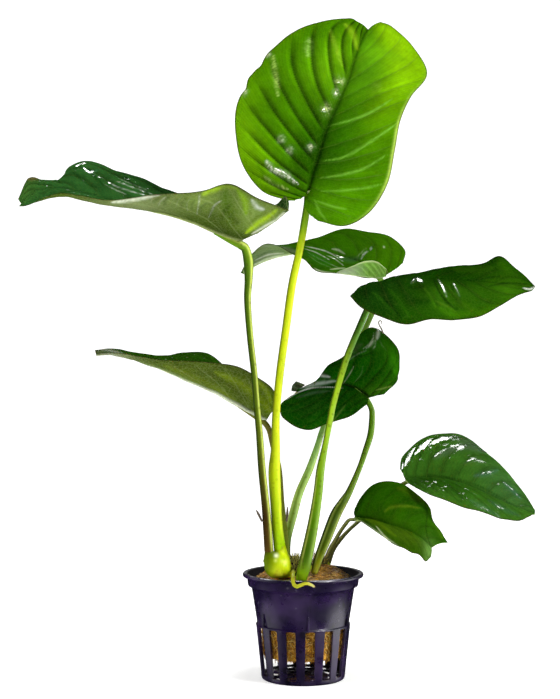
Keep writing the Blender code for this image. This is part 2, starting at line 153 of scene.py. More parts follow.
def ease(value: Array | float, low: float, high: float) -> Array:
    """Rise smoothly from 0 at low to 1 at high."""
    t = np.clip((np.asarray(value) - low) / (high - low), 0.0, 1.0)
    return t * t * (3 - 2 * t)


def linear(tone: Tone) -> Array:
    """Turn a screen colour, 0 to 255, into the linear one that shaders use."""
    share = np.array(tone) / 255.0
    return np.where(share <= 0.04045, share / 12.92, ((share + 0.055) / 1.055) ** 2.4)


def washed(tones: Array, tone: Tone, cover: Array) -> Array:
    """Lay a screen colour over linear ones, as strongly as cover says."""
    return tones * (1 - cover) + linear(tone) * cover


def graded(along: Array, places: Sequence[float], tones: Array) -> Array:
    """Colour points by their place along, between the tones set at some places."""
    return np.column_stack([np.interp(along, places, tones[:, k]) for k in range(3)])


def ripple(points: Array, seed: int, size: float, waves: int = 9) -> Array:
    """Lay a smooth random ripple over space.

    Args:
        points: Where to read it, in millimetres.
        seed: Which ripple, so that it is the same each time.
        size: The typical distance between its crests, in millimetres.
        waves: How many plain waves it is the sum of.

    Returns:
        Values that are mostly between -1 and 1.
    """
    draw = np.random.default_rng(seed)
    turns = unit(draw.normal(size=(waves, 3))) * (2 * pi / size) * draw.uniform(0.6, 1.7, (waves, 1))
    return np.sin(points @ turns.T + draw.uniform(0, 2 * pi, waves)).sum(axis=1) * (1.6 / waves)


def pick_only(*objects: Piece) -> None:
    """Leave only these objects selected, the first of them active."""
    bpy.ops.object.select_all(action="DESELECT")
    for obj in objects:
        obj.select_set(True)
    bpy.context.view_layer.objects.active = objects[0]


def edit(obj: Piece, select: str = "SELECT") -> None:
    """Enter edit mode on one object, with all of it selected or none."""
    pick_only(obj)
    bpy.ops.object.mode_set(mode="EDIT")
    bpy.ops.mesh.select_all(action=select)


def leave_edit() -> None:
    """Go back to object mode."""
    bpy.ops.object.mode_set(mode="OBJECT")


def apply_modifier(obj: Piece, kind: str, **settings: object) -> None:
    """Add a modifier with these settings and apply it."""
    pick_only(obj)
    modifier = obj.modifiers.new(kind.title(), kind)
    for name, value in settings.items():
        setattr(modifier, name, value)
    bpy.ops.object.modifier_apply(modifier=modifier.name)


def settle(obj: Piece) -> None:
    """Put the object's place, turn and size into its mesh."""
    pick_only(obj)
    bpy.ops.object.transform_apply(location=True, rotation=True, scale=True)


def points_of(obj: Piece) -> Array:
    """Read the mesh's points, in millimetres."""
    flat = np.empty(len(obj.data.vertices) * 3, np.float32)
    obj.data.vertices.foreach_get("co", flat)
    return flat.reshape(-1, 3).astype(float) / MM


def set_points(obj: Piece, points: Array) -> None:
    """Write the mesh's points, given in millimetres."""
    obj.data.vertices.foreach_set("co", (points * MM).astype(np.float32).ravel())
    obj.data.update()


def normals_of(obj: Piece) -> Array:
    """Read the direction in which each point of the mesh faces."""
    flat = np.empty(len(obj.data.vertices) * 3, np.float32)
    obj.data.vertex_normals.foreach_get("vector", flat)
    return flat.reshape(-1, 3).astype(float)


def write_values(mesh: bpy.types.Mesh, name: str, values: Array | float) -> None:
    """Give each point a value under this name, the same for all or one each."""
    made = mesh.attributes.new(name=name, type="FLOAT", domain="POINT")
    made.data.foreach_set("value", np.broadcast_to(values, len(made.data)).astype(np.float32).copy())


def paint(obj: Piece, tones: Array, wetness: Array | float = 0.0) -> None:
    """Give each point its colour and its wetness.

    Args:
        obj: The piece.
        tones: One linear colour a point.
        wetness: How wet it is, 0 to 1, the same all over or one value a point.
    """
    mesh = obj.data
    tint = mesh.color_attributes.new(name=TINT, type="FLOAT_COLOR", domain="POINT")
    rows = np.column_stack([np.clip(tones, 0.0, 1.0), np.ones(len(tones))])
    tint.data.foreach_set("color", rows.astype(np.float32).ravel())
    write_values(mesh, WETNESS, wetness)


def laid_grid(name: str, columns: int, rows: int) -> tuple[Piece, Array, Array]:
    """Add a flat grid that is to be laid over a surface.

    Args:
        name: The piece's name.
        columns: How many faces it has from left to right.
        rows: How many it has from foot to top.

    Returns:
        The grid, and for each of its points the place across, -1 to 1, and along, 0 to 1.
    """
    bpy.ops.object.select_all(action="DESELECT")
    bpy.ops.mesh.primitive_grid_add(x_subdivisions=columns, y_subdivisions=rows, size=2.0)
    grid = bpy.context.object
    grid.name = grid.data.name = name
    flat = points_of(grid) * MM
    return grid, flat[:, 0], (flat[:, 1] + 1) / 2


def tube(
    name: str,
    stops: Array,
    radii: Array,
    rows: int,
    around: int = 24,
    section: Callable[[Array, Array], Array] | None = None,
) -> tuple[Piece, Array, Array]:
    """Wrap a grid into a stem with round ends along a smooth line.

    Args:
        name: The piece's name.
        stops: Points on the stem's middle line, in millimetres.
        radii: The radius at each stop.
        rows: How many rings of faces it has.
        around: How many faces it has around, an even number.
        section: Gives the share of the radius at angles (0 faces front) and places along.

    Returns:
        The stem, and for each of its points the angle and the place along.
    """
    end = 4
    stem, across, along = laid_grid(name, around, rows)
    t_rows = np.concatenate([np.zeros(end), np.linspace(0, 1, rows + 1 - 2 * end), np.ones(end)])
    bulge = np.sin(np.linspace(0, pi / 2, end, endpoint=False))
    shrink = np.concatenate([bulge, np.ones(rows + 1 - 2 * end), bulge[::-1]])
    centres = smooth_line(stops, t_rows)
    widths = smooth_line(radii[:, None], t_rows)[:, 0]
    ahead = unit(smooth_line(stops, t_rows + 0.004) - smooth_line(stops, t_rows - 0.004))
    flat = np.zeros(rows + 1 - 2 * end)
    push = np.concatenate([-np.sqrt(1 - bulge**2), flat, np.sqrt(1 - bulge[::-1] ** 2)])
    centres = centres + ahead * (push * widths * 0.8)[:, None]
    front = np.empty_like(centres)
    guide = np.array([0.0, -1.0, 0.0])
    for k, way in enumerate(ahead):
        guide = unit(guide - way * (guide @ way))
        front[k] = guide
    side = np.cross(front, ahead)
    row = np.rint(along * rows).astype(int)
    angle = across * pi
    share = np.ones(len(angle)) if section is None else section(angle, t_rows[row])
    reach = (widths * shrink)[row] * share
    spots = centres[row] + reach[:, None] * (
        front[row] * np.cos(angle)[:, None] + side[row] * np.sin(angle)[:, None]
    )
    set_points(stem, spots)
    return stem, angle, t_rows[row]


def close_seams(obj: Piece) -> None:
    """Merge the points that lie on each other, and face the skin outwards."""
    edit(obj)
    bpy.ops.mesh.remove_doubles(threshold=2e-6)
    bpy.ops.mesh.select_all(action="SELECT")
    bpy.ops.mesh.normals_make_consistent(inside=False)
    leave_edit()


def joined(name: str, pieces: Sequence[Piece]) -> Piece:
    """Join pieces into one of this name."""
    pick_only(*pieces)
    if len(pieces) > 1:
        bpy.ops.object.join()
    made = bpy.context.object
    made.name = made.data.name = name
    return made


def hand_over(
    piece: Piece,
    finishes: Sequence[Finish],
    slot: Slot,
    *nodes: str,
    crease: float | None = None,
) -> None:
    """Finish a piece: its materials, what it rides on and what it stands for.

    Args:
        piece: The finished piece.
        finishes: The materials, in the order of the mesh's slots.
        slot: The record's slot that its finish belongs to; not used.
        nodes: The CAD nodes that it stands for.
        crease: The angle from which an edge stays sharp, in degrees, or None for a soft piece.
    """
    for finish in finishes:
        piece.data.materials.append(finish)
    pick_only(piece)
    if crease is None:
        bpy.ops.object.shade_smooth()
    else:
        bpy.ops.object.shade_smooth_by_angle(angle=radians(crease))
    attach(piece, ROOT_BODY)
    if nodes:
        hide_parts(*nodes)
    log.info("%s: %d faces", piece.name, len(piece.data.polygons))


class Canvas:
    """A node tree that a finish or an effect is drawn on."""

    def __init__(self, tree: bpy.types.NodeTree) -> None:
        """Keep the tree."""
        self.tree = tree

    def put(self, socket: Socket, value: object) -> None:
        """Link the value to the socket if it is one itself, or else set it."""
        if isinstance(value, Socket):
            self.tree.links.new(value, socket)
        else:
            socket.default_value = value

    def add(self, kind: str, inputs: dict[str | int, object], **settings: object) -> bpy.types.Node:
        """Add a node.

        Args:
            kind: The node's type, without the words that all shader nodes share.
            inputs: Values or sockets by input name or number.
            settings: The node's own settings.

        Returns:
            The node.
        """
        node = self.tree.nodes.new("ShaderNode" + kind)
        for name, value in settings.items():
            setattr(node, name, value)
        for key, value in inputs.items():
            self.put(node.inputs[key], value)
        return node

    def math(self, operation: str, a: object, b: object = 0.0, c: object = 0.0) -> Socket:
        """Work out a sum of values."""
        return self.add("Math", {0: a, 1: b, 2: c}, operation=operation).outputs[0]

    def mix(self, share: object, a: object, b: object, blend: str = "MIX") -> Socket:
        """Mix two colours."""
        return self.add("Mix", {0: share, 6: a, 7: b}, data_type="RGBA", blend_type=blend).outputs[2]

    def noise(self, vector: object, scale: object, detail: float = 3.0, rough: float = 0.55) -> Socket:
        """Read cloudy noise, about 0.2 to 0.8."""
        inputs = {"Vector": vector, "Scale": scale, "Detail": detail, "Roughness": rough}
        return self.add("TexNoise", inputs).outputs["Fac"]

    def noise_colour(self, vector: object, scale: float) -> Socket:
        """Read cloudy noise with three channels of its own."""
        return self.add("TexNoise", {"Vector": vector, "Scale": scale, "Detail": 2.0}).outputs["Color"]

    def remap(
        self, value: object, low: float, high: float, to_low: float = 0.0, to_high: float = 1.0
    ) -> Socket:
        """Turn one range into another, smoothly, and hold the ends."""
        inputs = {"Value": value, "From Min": low, "From Max": high, "To Min": to_low, "To Max": to_high}
        return self.add("MapRange", inputs, interpolation_type="SMOOTHSTEP").outputs["Result"]

    def brightened(self, colour: object, factor: object) -> Socket:
        """Scale a colour by a value."""
        node = self.add("VectorMath", {0: colour}, operation="SCALE")
        self.put(node.inputs["Scale"], factor)
        return node.outputs[0]

    def place(self) -> Socket:
        """Read the place on the object, in metres."""
        return self.add("TexCoord", {}).outputs["Object"]

    def attribute(self, name: str, output: str = "Color") -> Socket:
        """Read one of the mesh's own attributes."""
        return self.add("Attribute", {}, attribute_name=name).outputs[output]

    def bump(self, height: object, strength: float, distance: float) -> Socket:
        """Turn a height into a normal, the distance being in millimetres."""
        bump = self.add("Bump", {"Height": height, "Strength": strength, "Distance": distance * MM})
        return bump.outputs[0]


class Effect:
    """A node group that several finishes use, drawn once."""

    def __init__(self, name: str, inputs: dict[str, str], outputs: dict[str, str]) -> None:
        """Make the empty group.

        Args:
            name: The group's name.
            inputs: Input names and what they carry: Float, Vector or Color.
            outputs: Output names, likewise.
        """
        self.tree = bpy.data.node_groups.new(name, "ShaderNodeTree")
        for in_out, names in (("INPUT", inputs), ("OUTPUT", outputs)):
            for socket, kind in names.items():
                self.tree.interface.new_socket(socket, in_out=in_out, socket_type="NodeSocket" + kind)
        self.canvas = Canvas(self.tree)
        self.given = self.tree.nodes.new("NodeGroupInput").outputs
        self.result = self.tree.nodes.new("NodeGroupOutput").inputs

    def use(self, canvas: Canvas, inputs: dict[str | int, object]) -> bpy.types.bpy_prop_collection:
        """Place the group on a finish's canvas and return its outputs."""
        return canvas.add("Group", inputs, node_tree=self.tree).outputs


@cache
def mottling() -> Effect:
    """Draw uneven growth: a factor near 1 that drifts at two scales."""
    takes = {"Place": "Vector", "Scale": "Float", "Amount": "Float"}
    effect = Effect("mottling", takes, {"Factor": "Float"})
    c, given = effect.canvas, effect.given
    broad = c.noise(given["Place"], given["Scale"], 3.0)
    fine = c.noise(given["Place"], c.math("MULTIPLY", given["Scale"], 6.7), 4.0, 0.65)
    drift = c.math("SUBTRACT", c.math("MULTIPLY_ADD", broad, 1.3, c.math("MULTIPLY", fine, 0.7)), 1.0)
    spread = c.math("MULTIPLY", given["Amount"], 2.0)
    c.put(effect.result["Factor"], c.math("MULTIPLY_ADD", drift, spread, 1.0))
    return effect


@cache
def vein_lines() -> Effect:
    """Draw side veins: lines where the phase is whole, and finer ones between them."""
    effect = Effect("vein_lines", {"Phase": "Float", "Width": "Float"}, {"Veins": "Float", "Fine": "Float"})
    c, given = effect.canvas, effect.given

    def line(phase: Socket, width: object) -> Socket:
        """Draw a soft line at each whole number."""
        off = c.math("ABSOLUTE", c.math("SUBTRACT", c.math("FRACT", c.math("ADD", phase, 0.5)), 0.5))
        return c.math("SUBTRACT", 1.0, c.math("MINIMUM", c.math("DIVIDE", off, width), 1.0))

    c.put(effect.result["Veins"], c.math("POWER", line(given["Phase"], given["Width"]), 1.5))
    c.put(effect.result["Fine"], line(c.math("MULTIPLY", given["Phase"], 7.0), 0.45))
    return effect


@cache
def specks() -> Effect:
    """Draw scattered small round specks."""
    effect = Effect("specks", {"Place": "Vector", "Scale": "Float", "Size": "Float"}, {"Mask": "Float"})
    c, given = effect.canvas, effect.given
    cells = c.add("TexVoronoi", {"Vector": given["Place"], "Scale": given["Scale"], "Randomness": 1.0})
    keep = c.math("GREATER_THAN", c.add("SeparateColor", {0: cells.outputs["Color"]}).outputs[0], 0.72)
    near = c.math("LESS_THAN", cells.outputs["Distance"], given["Size"])
    c.put(effect.result["Mask"], c.math("MULTIPLY", keep, near))
    return effect


def new_finish(name: str, sockets: dict[str, float]) -> tuple[Finish, Canvas, bpy.types.Node]:
    """Start a material.

    Args:
        name: The material's name.
        sockets: The shader's constant values by socket name.

    Returns:
        The material, its canvas and its Principled BSDF.
    """
    made = bpy.data.materials.new(name)
    made.use_nodes = True
    shader = made.node_tree.nodes["Principled BSDF"]
    for key, value in sockets.items():
        shader.inputs[key].default_value = value
    return made, Canvas(made.node_tree), shader


@dataclass(frozen=True)
class BladeSkin:
    """One side of the blades: living tissue with side veins, duller or wetter in places."""

    name: str
    vein_tone: Tone
    vein_strength: float
    fine_strength: float
    vein_width: float = 0.07
    dry_roughness: float = 0.5
    wet_roughness: float = 0.12
    coat: float = 0.0
    relief: float = 0.35
    mottle: float = 0.42
    subsurface: float = 0.05
    net_strength: float = 0.06

    def build(self) -> Finish:
        """Make the material."""
        made, c, shader = new_finish(
            self.name,
            {
                "Coat Roughness": 0.1,
                "Subsurface Weight": self.subsurface,
                "Subsurface Scale": TISSUE_DEPTH,
                "Specular IOR Level": 0.0,
            },
        )
        place = c.place()
        phase = c.add("SeparateXYZ", {0: c.add("UVMap", {}, uv_map=VEIN_MAP).outputs[0]}).outputs[1]
        veins = vein_lines().use(c, {"Phase": phase, "Width": self.vein_width})
        drift = mottling().use(c, {"Place": place, "Scale": 75.0, "Amount": self.mottle})["Factor"]
        body = c.brightened(c.attribute(TINT), drift)
        darker = c.brightened(body, 0.8)
        body = c.mix(c.math("MULTIPLY", veins["Fine"], self.fine_strength), body, darker)
        vein_tone = (*linear(self.vein_tone), 1.0)
        swirl, grey = c.noise_colour(place, 120.0), (0.5, 0.5, 0.5)
        wavy = c.add("VectorMath", {0: swirl, 1: grey}, operation="SUBTRACT")
        shift = {0: wavy.outputs[0], 1: (0.006, 0.006, 0.006), 2: place}
        bent = c.add("VectorMath", shift, operation="MULTIPLY_ADD")
        net = c.add("TexVoronoi", {"Vector": bent.outputs[0], "Scale": 600.0}, feature="DISTANCE_TO_EDGE")
        thread = c.remap(net.outputs["Distance"], 0.0, 0.13, 1.0, 0.0)
        body = c.mix(c.math("MULTIPLY", thread, self.net_strength), body, vein_tone)
        shows = c.math("MULTIPLY", veins["Veins"], c.attribute(VEINING, "Fac"))
        body = c.mix(c.math("MULTIPLY", shows, self.vein_strength), body, vein_tone)
        c.put(shader.inputs["Base Color"], body)
        wet = c.attribute(WETNESS, "Fac")
        film = c.remap(c.math("MULTIPLY_ADD", wet, 0.55, c.noise(place, 420.0, 5.0, 0.65)), 0.74, 0.92)
        least, most = self.dry_roughness - 0.08, self.dry_roughness + 0.1
        dry = c.remap(c.noise(place, 90.0, 4.0), 0.3, 0.7, least, most)
        rough = c.math("MULTIPLY_ADD", film, c.math("SUBTRACT", self.wet_roughness, dry), dry)
        c.put(shader.inputs["Roughness"], rough)
        c.put(shader.inputs["Coat Weight"], c.math("MULTIPLY_ADD", film, 0.8, self.coat))
        c.put(shader.inputs["Coat Normal"], c.bump(c.noise(place, 1300.0, 2.0), 0.5, 0.2))
        scales = {"Vector": place, "Scale": 700.0, "Randomness": 1.0}
        cells = c.add("TexVoronoi", scales, feature="SMOOTH_F1")
        height = c.math("MULTIPLY_ADD", cells.outputs["Distance"], -0.5, c.noise(place, 420.0, 3.0))
        height = c.math("MULTIPLY_ADD", veins["Fine"], -0.35, height)
        height = c.math("MULTIPLY_ADD", veins["Veins"], -0.8, height)
        height = c.math("MULTIPLY_ADD", thread, self.net_strength * 2.0, height)
        c.put(shader.inputs["Normal"], c.bump(height, self.relief, 0.4))
        return made


@dataclass(frozen=True)
class StemSkin:
    """Stalks, rhizome and root: smooth skin with fine lengthwise lines."""

    name: str
    lines: float = 34.0
    line_strength: float = 0.25
    roughness: float = 0.34
    coat: float = 0.0
    relief: float = 0.3
    mottle: float = 0.15
    fleck_tone: Tone = (70, 60, 20)
    fleck_strength: float = 0.35

    def build(self) -> Finish:
        """Make the material."""
        made, c, shader = new_finish(
            self.name,
            {
                "Coat Weight": self.coat,
                "Coat Roughness": 0.15,
                "Subsurface Weight": 0.08,
                "Subsurface Scale": TISSUE_DEPTH,
                "Specular IOR Level": 0.06,
            },
        )
        place = c.place()
        around = c.add("SeparateXYZ", {0: c.add("UVMap", {}, uv_map="UVMap").outputs[0]}).outputs[0]
        turns = c.math("MULTIPLY", around, self.lines)
        wander = c.math("MULTIPLY_ADD", c.noise(place, 40.0, 2.0), 2.0, turns)
        line = c.math("ABSOLUTE", c.math("SUBTRACT", c.math("FRACT", wander), 0.5))
        drift = mottling().use(c, {"Place": place, "Scale": 60.0, "Amount": self.mottle})["Factor"]
        body = c.brightened(c.attribute(TINT), drift)
        darker = c.brightened(body, 0.72)
        body = c.mix(c.math("MULTIPLY", c.remap(line, 0.0, 0.5), self.line_strength), body, darker)
        flecks = specks().use(c, {"Place": place, "Scale": 520.0, "Size": 0.33})["Mask"]
        fleck_tone = (*linear(self.fleck_tone), 1.0)
        body = c.mix(c.math("MULTIPLY", flecks, self.fleck_strength), body, fleck_tone)
        c.put(shader.inputs["Base Color"], body)
        rough = c.remap(c.noise(place, 150.0, 4.0), 0.3, 0.7, self.roughness - 0.1, self.roughness + 0.12)
        c.put(shader.inputs["Roughness"], rough)
        height = c.math("MULTIPLY_ADD", line, 1.2, c.noise(place, 500.0, 3.0))
        c.put(shader.inputs["Normal"], c.bump(height, self.relief, 0.15))
        return made


@dataclass(frozen=True)
class DryFibre:
    """Rock wool, hairs and dead remains: matt fibre, each strand with its own tint."""

    name: str
    mottle: float = 0.5
    roughness: float = 0.85
    relief: float = 0.6
    grain: float = 900.0

    def build(self) -> Finish:
        """Make the material."""
        made, c, shader = new_finish(self.name, {"Specular IOR Level": 0.3})
        place = c.place()
        drift = mottling().use(c, {"Place": place, "Scale": 160.0, "Amount": self.mottle})["Factor"]
        c.put(shader.inputs["Base Color"], c.brightened(c.attribute(TINT), drift))
        grain = c.noise(place, self.grain, 4.0, 0.7)
        least, most = self.roughness - 0.1, self.roughness + 0.1
        c.put(shader.inputs["Roughness"], c.remap(grain, 0.3, 0.7, least, most))
        c.put(shader.inputs["Normal"], c.bump(grain, self.relief, 0.5))
        return made


@dataclass(frozen=True)
class MouldedPlastic:
    """The pot's dark plastic: faint purple in clouds, with pale specks of lime and small darker spots."""

    name: str = "pot_plastic_purple_black"
    body: Tone = (19, 7, 42)
    bloom: Tone = (66, 38, 96)
    speck: Tone = (170, 170, 180)
    roughness: float = 0.3
    coat: float = 0.4
    specular: float = 0.5

    def build(self) -> Finish:
        """Make the material."""
        made, c, shader = new_finish(
            self.name,
            {
                "Coat Weight": self.coat,
                "Coat Roughness": 0.25,
                "IOR": 1.5,
                "Specular IOR Level": self.specular,
            },
        )
        place = c.place()
        cloud = c.remap(c.noise(place, 55.0, 4.0, 0.6), 0.42, 0.72)
        body = c.mix(c.math("MULTIPLY", cloud, 0.45), (*linear(self.body), 1.0), (*linear(self.bloom), 1.0))
        dots = specks().use(c, {"Place": place, "Scale": 300.0, "Size": 0.16})["Mask"]
        body = c.mix(c.math("MULTIPLY", dots, 0.1), body, (*linear(self.speck), 1.0))
        stains = specks().use(c, {"Place": place, "Scale": 150.0, "Size": 0.24})["Mask"]
        body = c.mix(c.math("MULTIPLY", stains, 0.8), body, c.brightened(body, 0.25))
        c.put(shader.inputs["Base Color"], body)
        haze = c.noise(place, 120.0, 5.0, 0.6)
        least, most = self.roughness - 0.1, self.roughness + 0.14
        c.put(shader.inputs["Roughness"], c.remap(haze, 0.3, 0.7, least, most))
        height = c.math("ADD", c.noise(place, 900.0, 2.0), c.math("MULTIPLY", stains, 0.8))
        c.put(shader.inputs["Normal"], c.bump(height, 0.12, 0.12))
        return made


@dataclass(frozen=True)
class StudioFloor:
    """The plain pale floor, glowing less close to the pot: a painted contact shadow."""

    name: str = "pale_floor"
    tone: Tone = (246, 246, 246)
    contact_shadow_glow: float = 0.46
    far_glow: float = 0.95

    def build(self) -> Finish:
        """Make the material."""
        made, c, shader = new_finish(self.name, {"Specular IOR Level": 0.0})
        drift = mottling().use(c, {"Place": c.place(), "Scale": 3.0, "Amount": 0.01})["Factor"]
        c.put(shader.inputs["Base Color"], c.brightened(tuple(linear(self.tone)), drift))
        shader.inputs["Roughness"].default_value = 0.9
        far = c.add("VectorMath", {0: c.place()}, operation="LENGTH").outputs["Value"]
        # the glow drops close to the pot, a painted contact shadow
        glow = c.remap(far, 0.024, 0.05, self.contact_shadow_glow, self.far_glow)
        c.put(shader.inputs["Emission Color"], c.brightened((1.0, 1.0, 1.0), glow))
        shader.inputs["Emission Strength"].default_value = 1.0
        return made


@dataclass(frozen=True)
class Patch:
    """A soft-edged place on a blade with a colour of its own; one is a painted highlight along a margin."""

    across: float
    along: float
    reach: tuple[float, float]
    tone: Tone
    strength: float = 0.8
    face: Face = Face.UPPER

    def cover(self, across: Array, along: Array) -> Array:
        """Say how much of each point it covers, 0 to 1."""
        far = ((across - self.across) / self.reach[0]) ** 2 + ((along - self.along) / self.reach[1]) ** 2
        return self.strength * np.exp(-far * 1.2)


@dataclass(frozen=True)
class Mark:
    """A spot or streak on one side of a blade, at places of the front view.

    Its lift is a crease or a swelling towards the upper side, in millimetres. Many marks are painted
    glints, highlights and sheen, and the dark ones with a sunken lift are painted shade in creases.
    """

    stops: tuple[tuple[float, float], ...]
    width: float
    tone: Tone | None = None
    strength: float = 0.8
    lift: float = 0.0
    wet: float = 0.0
    broken: float = 0.0
    face: Face = Face.UPPER

    def grain(self, places: Array) -> Array:
        """Say how much of the colour is left at each point where the mark is broken up."""
        spots = np.column_stack([places, np.zeros(len(places))])
        return 1 - self.broken * (1 - ease(ripple(spots, 77, 3.4, 16), -0.3, 0.4))

    def cover(self, places: Array) -> Array:
        """Say how much of each point it covers, 0 to 1, the points given as they show."""
        stops = np.array(self.stops, float)
        if len(stops) == 1:
            return np.exp(-((np.linalg.norm(places - stops[0], axis=1) / self.width) ** 2))
        t = np.linspace(0.0, 1.0, 40)
        line = smooth_line(stops, t)
        thin = 0.3 + 0.7 * np.sin(pi * t) ** 0.6
        nearest = np.full(len(places), np.inf)
        for place, share in zip(line, thin):
            nearest = np.minimum(nearest, np.linalg.norm(places - place, axis=1) / (self.width * share))
        return np.exp(-(nearest**2))


def on(face: Face, *things: Patch | Mark) -> list[Patch | Mark]:
    """Put patches or marks on this side in place of the upper one."""
    return [replace(thing, face=face) for thing in things]


@dataclass(frozen=True)
class Nick:
    """A place where a margin stands in, or out if negative, in millimetres."""

    side: int
    along: float
    reach: float
    depth: float

    def pull(self, across: Array, along: Array) -> Array:
        """Say how far each point is pulled towards the midrib."""
        near = np.exp(-(((along - self.along) / self.reach) ** 2))
        return self.depth * near * np.abs(across) ** 5 * (across * self.side > 0)


@dataclass(frozen=True)
class Veins:
    """How the side veins run, how deeply they fold the blade, and the painted shade and highlights beside them.

    The first of each pair is for the left half and the second for the right.
    """

    count: float = 9.0
    sweep: tuple[float, float] = (0.3, 0.3)
    power: float = 1.3
    pleat: tuple[float, float] = (0.3, 0.3)
    pale: tuple[float, float] = (0.5, 0.5)
    # shade is painted shade beside each vein, and the pair after it a painted highlight on the ridge beside it
    shade: tuple[float, float] = (0.25, 0.25)
    crest_highlight: tuple[float, float] = (0.0, 0.0)

    def phase(self, across: Array, along: Array) -> Array:
        """Number the veins: the phase is whole on each."""
        return self.count * (along - self.half(self.sweep, across) * np.abs(across) ** self.power)

    @staticmethod
    def half(pair: tuple[float, float], across: Array) -> Array:
        """Read the left value left of the midrib and the right one right of it."""
        return np.where(across < 0, pair[0], pair[1])

    def painted_pleat_light(self, across: Array, along: Array) -> Array:
        """Say how much painted shade darkens each point beside a vein, or a painted highlight lightens it if
        negative.

        The dark side is the vein's foot side, or its tip side where the shade is negative.
        """
        share = np.abs(across)
        shade = self.half(self.shade, across)
        off = ((self.phase(across, along) + 0.5) % 1.0 - 0.5) * np.sign(shade)
        near = np.exp(-np.where(off > 0, (off / 0.06) ** 2, (off / 0.24) ** 2))
        # a painted highlight on the ridge just past each vein, broken up along the blade
        pale = np.exp(-(((off - 0.17) / 0.1) ** 2)) * ease(np.sin(along * 17 + share * 5), -1.6, 1.0)
        pale = pale * self.half(self.crest_highlight, across)
        fade = ease(share, 0.0, 0.12) * (1 - ease(share, 0.7, 1.0))
        return (np.abs(shade) * near - pale) * fade


@dataclass(frozen=True)
class Stripe:
    """A lengthwise band of painted highlight or painted side shade on a stalk: its angle is 0 in front and grows
    to the left.
    """

    angle: float
    width: float
    tone: Tone
    strength: float = 0.7
    start: float = 0.0
    end: float = 1.0

    def cover(self, angle: Array, along: Array) -> Array:
        """Say how much of each point it covers, 0 to 1."""
        turned = np.abs((angle - self.angle + pi) % (2 * pi) - pi)
        begun = ease(along, self.start - 0.04, self.start + 0.04)
        held = begun * (1 - ease(along, self.end - 0.04, self.end + 0.04))
        return self.strength * np.exp(-((turned / self.width) ** 2)) * held


@dataclass(frozen=True)
class Flap:
    """A part of a margin that is turned over and shows the blade's other side.

    Both edges are sightings: the fold lies on the margin, and the free edge stands off it.
    """

    fold: tuple[Sighting, ...]
    free: tuple[Sighting, ...]
    tone: Tone
    rim: Tone
    bulge: float = 1.0
    veins: float = 6.0
    # how strongly the ribs are painted with light and shade
    ribs: float = 0.3
    dull: float = 0.0

    def build(self, name: str, finishes: Sequence[Finish]) -> Piece:
        """Build the flap as a thin bulging sheet."""
        flap, x, along = laid_grid(name, 60, 30)
        t = (x + 1) / 2
        fold = smooth_line(sighted(self.fold), t)
        free = smooth_line(sighted(self.free), t)
        points = fold + (free - fold) * along[:, None]
        way = np.array([0.0, -1.0, 0.25])
        swell = self.bulge * np.sin(pi * along**0.7) * np.sin(pi * np.clip(t, 0.0, 1.0)) ** 0.5
        swell = swell + 0.12 * np.sin(2 * pi * self.veins * (t + 0.25 * along)) * np.sin(pi * t)
        set_points(flap, points + way * swell[:, None])
        apply_modifier(flap, "SOLIDIFY", thickness=0.4 * MM, offset=0.0)
        mesh = flap.data
        corner = np.empty(len(mesh.loops), np.int32)
        mesh.loops.foreach_get("vertex_index", corner)
        phase = self.veins * (t + 0.25 * along)
        rows = np.column_stack([along, phase])[corner % len(t)]
        mesh.uv_layers[0].name = VEIN_MAP
        mesh.uv_layers[VEIN_MAP].data.foreach_set("uv", rows.astype(np.float32).ravel())
        edge = np.maximum(ease(along, 0.84, 0.96), 1 - ease(along, 0.0, 0.08))[:, None]
        # painted light and shade across the ribs, a quarter wave off their bulge: lighter on one slope, darker
        # on the other
        ribs = np.cos(2 * pi * phase) * ease(along, 0.02, 0.3) * (1 - ease(along, 0.7, 1.0))
        tones = linear(self.tone) * (1 + self.ribs * ribs)[:, None]
        dull = (self.dull * (1 - ease(t, 0.1, 0.6)))[:, None]
        tones = washed(tones, PALE_BLOOM, dull)
        tones = np.tile(washed(tones, self.rim, edge), (2, 1))
        paint(flap, tones, 0.2)
        write_values(mesh, VEINING, FLAP_VEINING)
        hand_over(flap, [finishes[1]], Slot.BLADE)
        return flap


